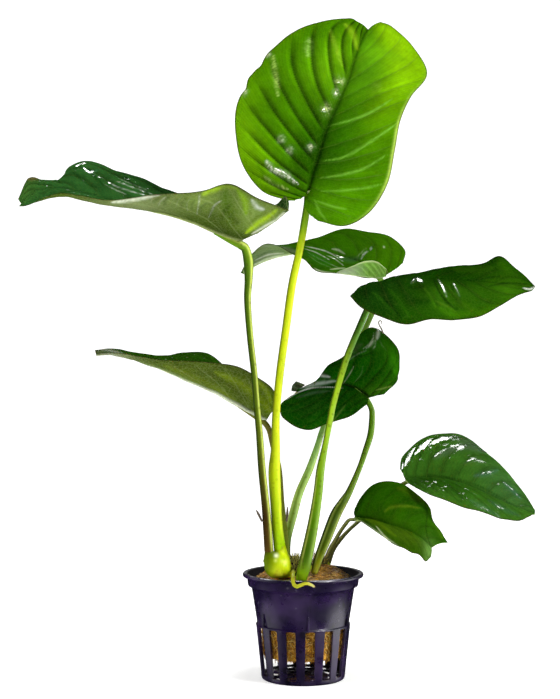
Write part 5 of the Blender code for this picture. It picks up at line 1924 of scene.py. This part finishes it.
@dataclass
class RockWool:
    """The rock wool plug: a clumpy body with loose golden-brown fibres on its side and top."""

    top: float = 48.0
    top_radius: float = 20.7
    foot: float = 10.4
    foot_radius: float = 18.0
    shoulder: float = 44.8
    waist: float = 19.2
    waist_height: float = 25.3
    side_fibres: int = 4200
    top_fibres: int = 3000
    tones: tuple[Tone, ...] = (
        (206, 146, 34), (230, 172, 56), (166, 108, 24), (244, 206, 116), (104, 64, 16),
    )
    dark: Tone = (122, 78, 20)
    light: Tone = (226, 168, 52)
    mounds: tuple[tuple[float, float, float, float], ...] = (
        (10.5, 2.0, 6.5, 3.8),
        (-13.0, 4.0, 5.0, 1.8),
        (16.5, -5.0, 3.5, 1.4),
    )

    def mound(self, x: Array, y: Array) -> Array:
        """Say how much the top swells at a place."""
        return sum(
            high * np.exp(-(((x - at) ** 2 + (y - deep) ** 2) / wide**2)) for at, deep, wide, high in self.mounds
        )

    def radius_at(self, z: Array) -> Array:
        """Say how wide the plug is at a height."""
        stops = [self.foot, self.foot + 0.8, self.waist_height, self.shoulder]
        return np.interp(z, stops, [self.foot_radius - 0.6, self.foot_radius, self.waist, self.top_radius])

    def build_body(self, finish: Finish) -> None:
        """Build the clumpy body."""
        body, across, along = laid_grid("rock_wool_body", 160, 120)
        profile = np.array(
            [
                (0.01, self.foot),
                (9.0, self.foot),
                (self.foot_radius - 0.6, self.foot),
                (self.foot_radius, self.foot + 0.8),
                (self.waist, self.waist_height),
                (self.top_radius, self.shoulder),
                (19.4, self.top - 1.6),
                (16.0, self.top - 0.7),
                (9.0, self.top - 0.2),
                (0.01, self.top),
            ]
        )
        length = np.concatenate([[0], np.cumsum(np.linalg.norm(np.diff(profile, axis=0), axis=1))])
        radius = np.interp(along * length[-1], length, profile[:, 0])
        height = np.interp(along * length[-1], length, profile[:, 1])
        points = np.column_stack([radius * np.sin(across * pi), -radius * np.cos(across * pi), height])
        clump = ripple(points, 3, 5.0, 14) * 0.45 + ripple(points, 4, 1.8, 14) * 0.3 - 0.55
        up = np.where(height > self.shoulder, 12.0, 0.0) + 0.001
        out = unit(np.column_stack([points[:, 0], points[:, 1], up]))
        points[:, 2] += self.mound(points[:, 0], points[:, 1]) * ease(height, self.shoulder, self.top - 1.0)
        set_points(body, points + out * clump[:, None])
        shade = ease(ripple(points, 5, 3.0, 14), -1.0, 1.0)[:, None]
        paint(body, washed(linear(self.dark), self.light, shade))
        close_seams(body)
        hand_over(body, [finish], Slot.WOOL, "rock_wool_plug")

    def build_fibres(self, name: str, count: int, on_top: bool, finish: Finish) -> None:
        """Lay loose fibres over the side or the top.

        Args:
            name: The piece's name.
            count: How many fibres.
            on_top: Whether they lie on the top and not on the side.
            finish: Their material.
        """
        draw = np.random.default_rng(11 if on_top else 12)
        angle = draw.uniform(0, 2 * pi, count)
        if on_top:
            radius = self.top_radius * np.sqrt(draw.uniform(0.03, 0.93, count))
            rings, heights = [0, 9, 16, 19.4, self.top_radius], [48.0, 47.8, 47.3, 46.4, 44.8]
            height = np.interp(radius, rings, heights) - 0.45
            out = np.column_stack([0.1 * np.sin(angle), -0.1 * np.cos(angle), np.ones(count)])
        else:
            height = draw.uniform(self.foot + 0.3, self.waist_height + 1.0, count)
            radius = self.radius_at(height) - 0.35
            out = np.column_stack([np.sin(angle), -np.cos(angle), np.zeros(count)])
        roots = np.column_stack([radius * np.sin(angle), -radius * np.cos(angle), height])
        if on_top:
            inward = ease(height, self.shoulder - 0.45, self.top - 1.4)
            roots[:, 2] += self.mound(roots[:, 0], roots[:, 1]) * inward
        out = unit(out)
        flat = draw.normal(size=(count, 3))
        flat = unit(flat - out * (flat * out).sum(axis=1)[:, None])
        lengths = draw.uniform(2.0, 5.5, count)
        ways = unit(flat + out * draw.uniform(0.02, 0.35, count)[:, None])
        bends = (np.cross(out, flat) * draw.uniform(-0.5, 0.5, count)[:, None] - out * 0.32)
        chosen = draw.integers(0, len(self.tones), count)
        tones = np.array([linear(tone) for tone in self.tones])[chosen]
        tones = tones * draw.uniform(0.75, 1.2, count)[:, None]
        made = strands(name, roots - flat * (lengths / 2)[:, None], ways, bends, lengths, 0.11, tones)
        hand_over(made, [finish], Slot.WOOL)

    def build(self, finish: Finish) -> None:
        """Build the plug."""
        self.build_body(finish)
        self.build_fibres("rock_wool_side_fibres", self.side_fibres, False, finish)
        self.build_fibres("rock_wool_top_fibres", self.top_fibres, True, finish)


@dataclass
class Rhizome:
    """The yellow-green bulb with the creeping stem behind it, grown together with the stalks' feet."""

    bulb: Sighting = (276.3, 565.2, -15.2)
    bulb_radii: tuple[float, float, float] = (5.5, 5.2, 5.9)
    creeping: Route = (
        ((279, 569, -12), 3.8),
        ((291, 571.5, -6), 4.0),
        ((303, 571, 0), 3.6),
        ((316, 570, 5), 3.2),
        ((327, 569, 9), 2.4),
    )
    collars: tuple[Route, ...] = (
        (((281, 568, -15), 4.9), ((281.5, 561, -14), 4.2), ((280.8, 553, -13.2), 3.1), ((280, 543, -13), 2.2)),
        (((270.5, 560, -15), 3.4), ((269.2, 552.6, -15), 2.2)),
        (((288, 568, -5), 2.6), ((286.6, 559, -4), 1.8)),
        (((290, 571, 2), 2.4), ((288, 566, 4), 1.8)),
        (((326, 568, 8), 2.0), ((328.3, 562.6, 9), 1.4)),
        (((321, 569, 5), 2.2), ((324.3, 564.6, 3.6), 1.4)),
    )
    grain: float = 0.32
    # painted light: the bulb is painted from the shaded tone on its left to the bright one at its lower right
    shaded: Tone = (88, 112, 0)
    bright: Tone = (226, 250, 20)
    old: Tone = (146, 146, 52)
    # painted highlights and glints on the bulb, and a painted bright pool at its foot; the first, dark spot is
    # the brown where the left stalk meets it
    spots: tuple[tuple[float, float, float, Tone, float], ...] = (
        (266, 552, 4.0, (62, 50, 10), 0.75),
        (276.3, 555.5, 2.0, (255, 255, 214), 0.95),
        (275.6, 560.5, 1.6, (236, 250, 120), 0.6),
        (285, 562, 2.4, (255, 255, 130), 0.8),
        (283.5, 553, 3.4, (232, 252, 30), 0.8),
        (279, 575, 5.0, (255, 255, 60), 0.85),
    )

    def stem(self, stops: Route) -> Piece:
        """Build one round stem through these stops."""
        line = sighted([stop for stop, _ in stops])
        radii = np.array([radius for _, radius in stops])
        made, _, _ = tube("stem", line, radii, 60, 24)
        close_seams(made)
        return made

    def build(self, finish: Finish) -> None:
        """Build the bulb and stems, melt them into one skin and colour it."""
        centre = seen(*self.bulb)
        bpy.ops.object.select_all(action="DESELECT")
        bpy.ops.mesh.primitive_uv_sphere_add(segments=48, ring_count=32, radius=1.0)
        bulb = bpy.context.object
        spots = points_of(bulb) * MM
        swell = 1 + 0.025 * ripple(spots * 10, 8, 9.0)
        set_points(bulb, centre + spots * np.array(self.bulb_radii) * swell[:, None])
        stems = [self.stem(self.creeping), *(self.stem(collar) for collar in self.collars)]
        body = joined("rhizome_skin", [bulb, *stems])
        apply_modifier(body, "REMESH", mode="VOXEL", voxel_size=self.grain * MM, adaptivity=0.0)
        apply_modifier(body, "SMOOTH", factor=0.5, iterations=9)
        spots = points_of(body)
        facing = normals_of(body)
        back = ease(spots[:, 1], -12.0, -6.0)
        rings = np.sin(spots[:, 0] * 2.1 + spots[:, 1] * 1.3) ** 6
        lift = -0.25 * rings * back + 0.1 * ripple(spots, 9, 4.0)
        set_points(body, spots + facing * lift[:, None])
        far = np.linalg.norm(spots - centre, axis=1)
        places = shown(spots)
        # painted light and shade: darker on the left, brighter to the right and lower down
        light = ease(places[:, 0] + 0.3 * (places[:, 1] - 562), 267.0, 289.0)[:, None]
        tones = washed(linear(self.shaded), self.bright, light)
        for u, v, size, tone, strength in self.spots:
            cover = strength * np.exp(-(((places - (u, v)) / size) ** 2).sum(axis=1))[:, None]
            tones = washed(tones, tone, cover)
        worn = (back * (0.75 + 0.25 * ripple(spots, 10, 5.0)))[:, None]
        tones = washed(tones, self.old, worn)
        tones = tones * (1 - 0.15 * ease(far, 5.6, 8.0))[:, None]
        paint(body, tones, 0.6)
        around = np.arctan2(spots[:, 0] - centre[0], centre[1] - spots[:, 1]) / (2 * pi)
        corner = np.empty(len(body.data.loops), np.int32)
        body.data.loops.foreach_get("vertex_index", corner)
        rows = np.column_stack([around, spots[:, 2] / 12.0])[corner]
        body.data.uv_layers.new(name="UVMap").data.foreach_set("uv", rows.astype(np.float32).ravel())
        hand_over(body, [finish], Slot.YOUNG, "rhizome")


@dataclass
class Root:
    """The root that climbs over the pot's rim."""

    route: Route = (
        ((293.2, 571, -17.5), 0.8),
        ((293.2, 573, -23.0), 0.9),
        ((292.8, 577.5, -27.6), 0.9),
        ((293.6, 583.5, -29.6), 0.9),
        ((297, 586.4, -29.6), 0.9),
        ((304, 583.8, -29.6), 0.8),
        ((309, 583.8, -29.4), 0.75),
        ((314, 586.4, -29.0), 0.5),
    )
    tones: tuple[tuple[float, Tone], ...] = (
        (0.0, (150, 150, 30)),
        (0.5, (164, 168, 30)),
        (0.8, (180, 180, 44)),
        (1.0, (214, 210, 130)),
    )

    def build(self, finish: Finish) -> None:
        """Build the root, slightly knobbly."""
        stops = sighted([stop for stop, _ in self.route])
        radii = np.array([radius for _, radius in self.route])

        def knobs(angle: Array, along: Array) -> Array:
            """Shape the root's section."""
            rings = 0.05 * np.sin(along * 60 + np.cos(angle) * 2)
            return 0.94 + rings + 0.03 * np.cos(3 * angle + along * 20)

        root, _, along = tube("root_skin", stops, radii, 130, 20, knobs)
        places = [place for place, _ in self.tones]
        tones = np.array([linear(tone) for _, tone in self.tones])
        paint(root, graded(along, places, tones), 0.4)
        close_seams(root)
        hand_over(root, [finish], Slot.YOUNG, "root")


@dataclass
class DeadRemains:
    """The torn stub of a dead leaf with its hairs, and two small dry bracts."""

    stub: Route = (
        ((294.5, 574, -15.0), 1.4),
        ((294.8, 566, -14.0), 1.5),
        ((294.6, 557.4, -12.6), 1.15),
    )
    left: Route = (
        ((261.8, 521, -17.5), 0.45),
        ((258.4, 514, -18), 0.55),
        ((256.2, 510, -18.5), 0.2),
    )
    right: Route = (
        ((286.6, 521, -14), 0.45),
        ((287.2, 514, -14.5), 0.55),
        ((287.5, 507, -15), 0.2),
    )
    scraps: tuple[Sighting, ...] = ((314, 571, 3), (318.5, 563, 2), (321, 557, 1.5))
    brown: Tone = (56, 38, 18)
    grey: Tone = (246, 242, 226)
    straw: Tone = (176, 156, 60)
    yellowed: Tone = (252, 244, 128)
    hairs: int = 620

    def scale(self, name: str, stops: Route, node: str, finish: Finish) -> None:
        """Build one flattened, ragged scale through these stops.

        Args:
            name: The piece's name.
            stops: Its middle line and half widths.
            node: The CAD node that it stands for.
            finish: Its material.
        """
        line = sighted([stop for stop, _ in stops])
        radii = np.array([radius for _, radius in stops])

        def ragged(angle: Array, along: Array) -> Array:
            """Shape the scale's section."""
            flat = 0.55 + 0.45 * np.abs(np.sin(angle))
            return flat * (1 + 0.16 * np.sin(angle * 5 + along * 31) * ease(along, 0.4, 1.0))

        made, angle, along = tube(name, line, radii, 50, 24, ragged)
        pale = (0.5 + 0.5 * np.sin(angle * 3 + along * 14))[:, None] * 0.08
        paint(made, washed(linear(self.brown), self.grey, pale))
        close_seams(made)
        hand_over(made, [finish], Slot.DEAD, node)

    def build(self, finish: Finish) -> None:
        """Build the stub, its hairs and both bracts."""
        self.scale("dead_leaf_stub_skin", self.stub, "dead_leaf_stub", finish)
        self.scale("left_bract_skin", self.left, "left_bract", finish)
        self.scale("right_bract_skin", self.right, "right_bract", finish)
        stops = [stop for stop, _ in self.stub]
        self.tuft("dead_leaf_hairs", stops, self.yellowed, self.hairs, 0.9, finish)
        self.tuft("dry_scraps_at_foot", self.scraps, self.straw, self.hairs // 2, 1.9, finish)

    def tuft(
        self, name: str, stops: Sequence[Sighting], pale: Tone, count: int, off: float, finish: Finish
    ) -> None:
        """Build a tuft of dry hairs along a line.

        Args:
            name: The piece's name.
            stops: The line.
            pale: The tone of the pale hairs.
            count: How many hairs it has.
            off: How far from the line they start, in millimetres.
            finish: Its material.
        """
        draw = np.random.default_rng(count)
        line = smooth_line(sighted(stops), draw.uniform(0.05, 0.95, count))
        out = unit(draw.normal(size=(count, 3)) * np.array([1.0, 0.8, 0.25]))
        lengths = draw.uniform(1.0, 3.4, count)
        ways = unit(out + np.array([0, 0, 1.4]))
        bends = unit(draw.normal(size=(count, 3))) * 0.35
        mixed = (draw.uniform(0, 1, (count, 1)) > 0.45) * draw.uniform(0.6, 1.0, (count, 1))
        tones = washed(linear(self.brown), pale, mixed)
        hand_over(strands(name, line + out * off, ways, bends, lengths, 0.12, tones), [finish], Slot.DEAD)


@dataclass(frozen=True)
class SoftBox:
    """One soft light: where it stands, what it points at, its size and its power."""

    name: str
    place: tuple[float, float, float]
    aim: tuple[float, float, float]
    size: tuple[float, float]
    power: float
    lights_matt: bool = True
    mirrored: bool = True

    def build(self) -> None:
        """Add the light."""
        bpy.ops.object.select_all(action="DESELECT")
        bpy.ops.object.light_add(type="AREA", location=self.place)
        lamp = bpy.context.object
        lamp.name = self.name
        lamp.data.shape = "RECTANGLE"
        lamp.data.size, lamp.data.size_y = self.size
        lamp.data.energy = self.power
        lamp.visible_diffuse = self.lights_matt
        lamp.visible_glossy = self.mirrored
        way = Vector(self.aim) - Vector(self.place)
        lamp.rotation_euler = way.to_track_quat("-Z", "Y").to_euler()


@dataclass
class Studio:
    """The plain pale floor, the soft lights and the camera."""

    floor_radius: float = 2.5
    surround: float = 0.25
    mirrored_front: float = 0.01
    mirrored_left: float = 0.8
    mirrored_right: float = 2.2
    lights: tuple[SoftBox, ...] = (
        SoftBox("key_right", (0.8, -0.5, 0.75), (0, 0, 0.15), (0.3, 0.3), 9.0, True, False),
        SoftBox("key_left", (-0.85, -0.35, 0.6), (0, 0, 0.2), (0.3, 0.5), 5.0, True, False),
        SoftBox("window_right", (0.66, -0.55, 0.53), (0, 0, 0.25), (0.18, 0.18), 12.0, False),
        SoftBox("glare_left", (-0.04, 0.49, 0.8), (0.07, 0, 0.1), (0.6, 0.4), 22.0, False),
        SoftBox("glare_right", (0.44, 0.12, 0.9), (0.07, 0, 0.1), (0.16, 0.16), 2.0, False),
    )

    def build_floor(self, finish: Finish) -> None:
        """Lay the floor."""
        bpy.ops.object.select_all(action="DESELECT")
        bpy.ops.mesh.primitive_circle_add(vertices=96, radius=self.floor_radius, fill_type="TRIFAN")
        floor = bpy.context.object
        floor.name = "floor"
        floor.data.materials.append(finish)
        floor.visible_glossy = False

    def light_surround(self) -> None:
        """Make the surround white to look at and softer as a light."""
        world = bpy.data.worlds.new("white_surround")
        world.use_nodes = True
        c = Canvas(world.node_tree)
        tree = world.node_tree
        tree.nodes.clear()
        paths = c.add("LightPath", {}).outputs
        sideways = c.add("SeparateXYZ", {0: c.add("TexCoord", {}).outputs["Generated"]}).outputs[0]
        right = c.remap(sideways, 0.78, 1.0, 0.0, self.mirrored_right)
        left = c.remap(sideways, -1.0, -0.78, self.mirrored_left, 0.0)
        walls = c.math("ADD", c.math("ADD", left, right), self.mirrored_front - self.surround)
        mirrored = c.math("MULTIPLY_ADD", paths["Is Glossy Ray"], walls, self.surround)
        strength = c.math("MULTIPLY_ADD", paths["Is Camera Ray"], 1.02, mirrored)
        back = c.add("Background", {"Color": (1.0, 1.0, 1.0, 1.0), "Strength": strength})
        out = c.add("OutputWorld", {})
        tree.links.new(back.outputs[0], out.inputs["Surface"])
        bpy.context.scene.world = world

    def build_camera(self) -> None:
        """Stand the camera where the photograph was taken from."""
        bpy.ops.object.select_all(action="DESELECT")
        bpy.ops.object.camera_add(location=tuple(EYE * MM), rotation=(pi / 2, 0, 0))
        camera = bpy.context.object
        camera.data.sensor_width = SENSOR
        camera.data.lens = SENSOR * VIEW_UNITS_PER_UNIT_SLOPE / PICTURE_HEIGHT
        bpy.context.scene.camera = camera

    def build(self) -> None:
        """Build the studio."""
        self.build_camera()
        self.build_floor(StudioFloor().build())
        self.light_surround()
        for light in self.lights:
            light.build()
        bpy.context.scene.view_settings.view_transform = "Standard"


def main() -> None:
    """Build the studio and every piece in order."""
    logging.basicConfig(level=logging.INFO, format="%(name)s: %(message)s")
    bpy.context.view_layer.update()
    Studio().build()
    upper = BladeSkin("blade_upper_waxy", (120, 160, 60), 0.3, 0.45, relief=0.5)
    lower = BladeSkin(
        "blade_underside", (176, 190, 130), 0.4, 0.25, wet_roughness=0.25, relief=0.35, net_strength=0.1
    )
    # the pot's inside is painted darker than its outside: painted shade in its hollow
    inside = MouldedPlastic(
        "pot_plastic_inside_painted_shade", (7, 4, 13), (24, 16, 32), roughness=0.6, coat=0.0, specular=0.12
    )
    NetPot().build(MouldedPlastic().build(), inside.build())
    RockWool().build(DryFibre("golden_rock_wool").build())
    skin = StemSkin("stalk_green_skin").build()
    young = StemSkin("young_yellow_green_skin", line_strength=0.18, mottle=0.1, fleck_strength=0.15).build()
    dry = DryFibre("dead_brown_fibre", roughness=0.8).build()
    Rhizome().build(young)
    Root().build(young)
    DeadRemains().build(dry)
    faces = [upper.build(), lower.build()]
    for leaf in LEAVES:
        leaf.build_stalk(young if leaf.stalk_slot is Slot.YOUNG else skin)
        leaf.build_blade(faces)
    DriedCurl().build(dry)


if __name__ == "__main__":
    main()
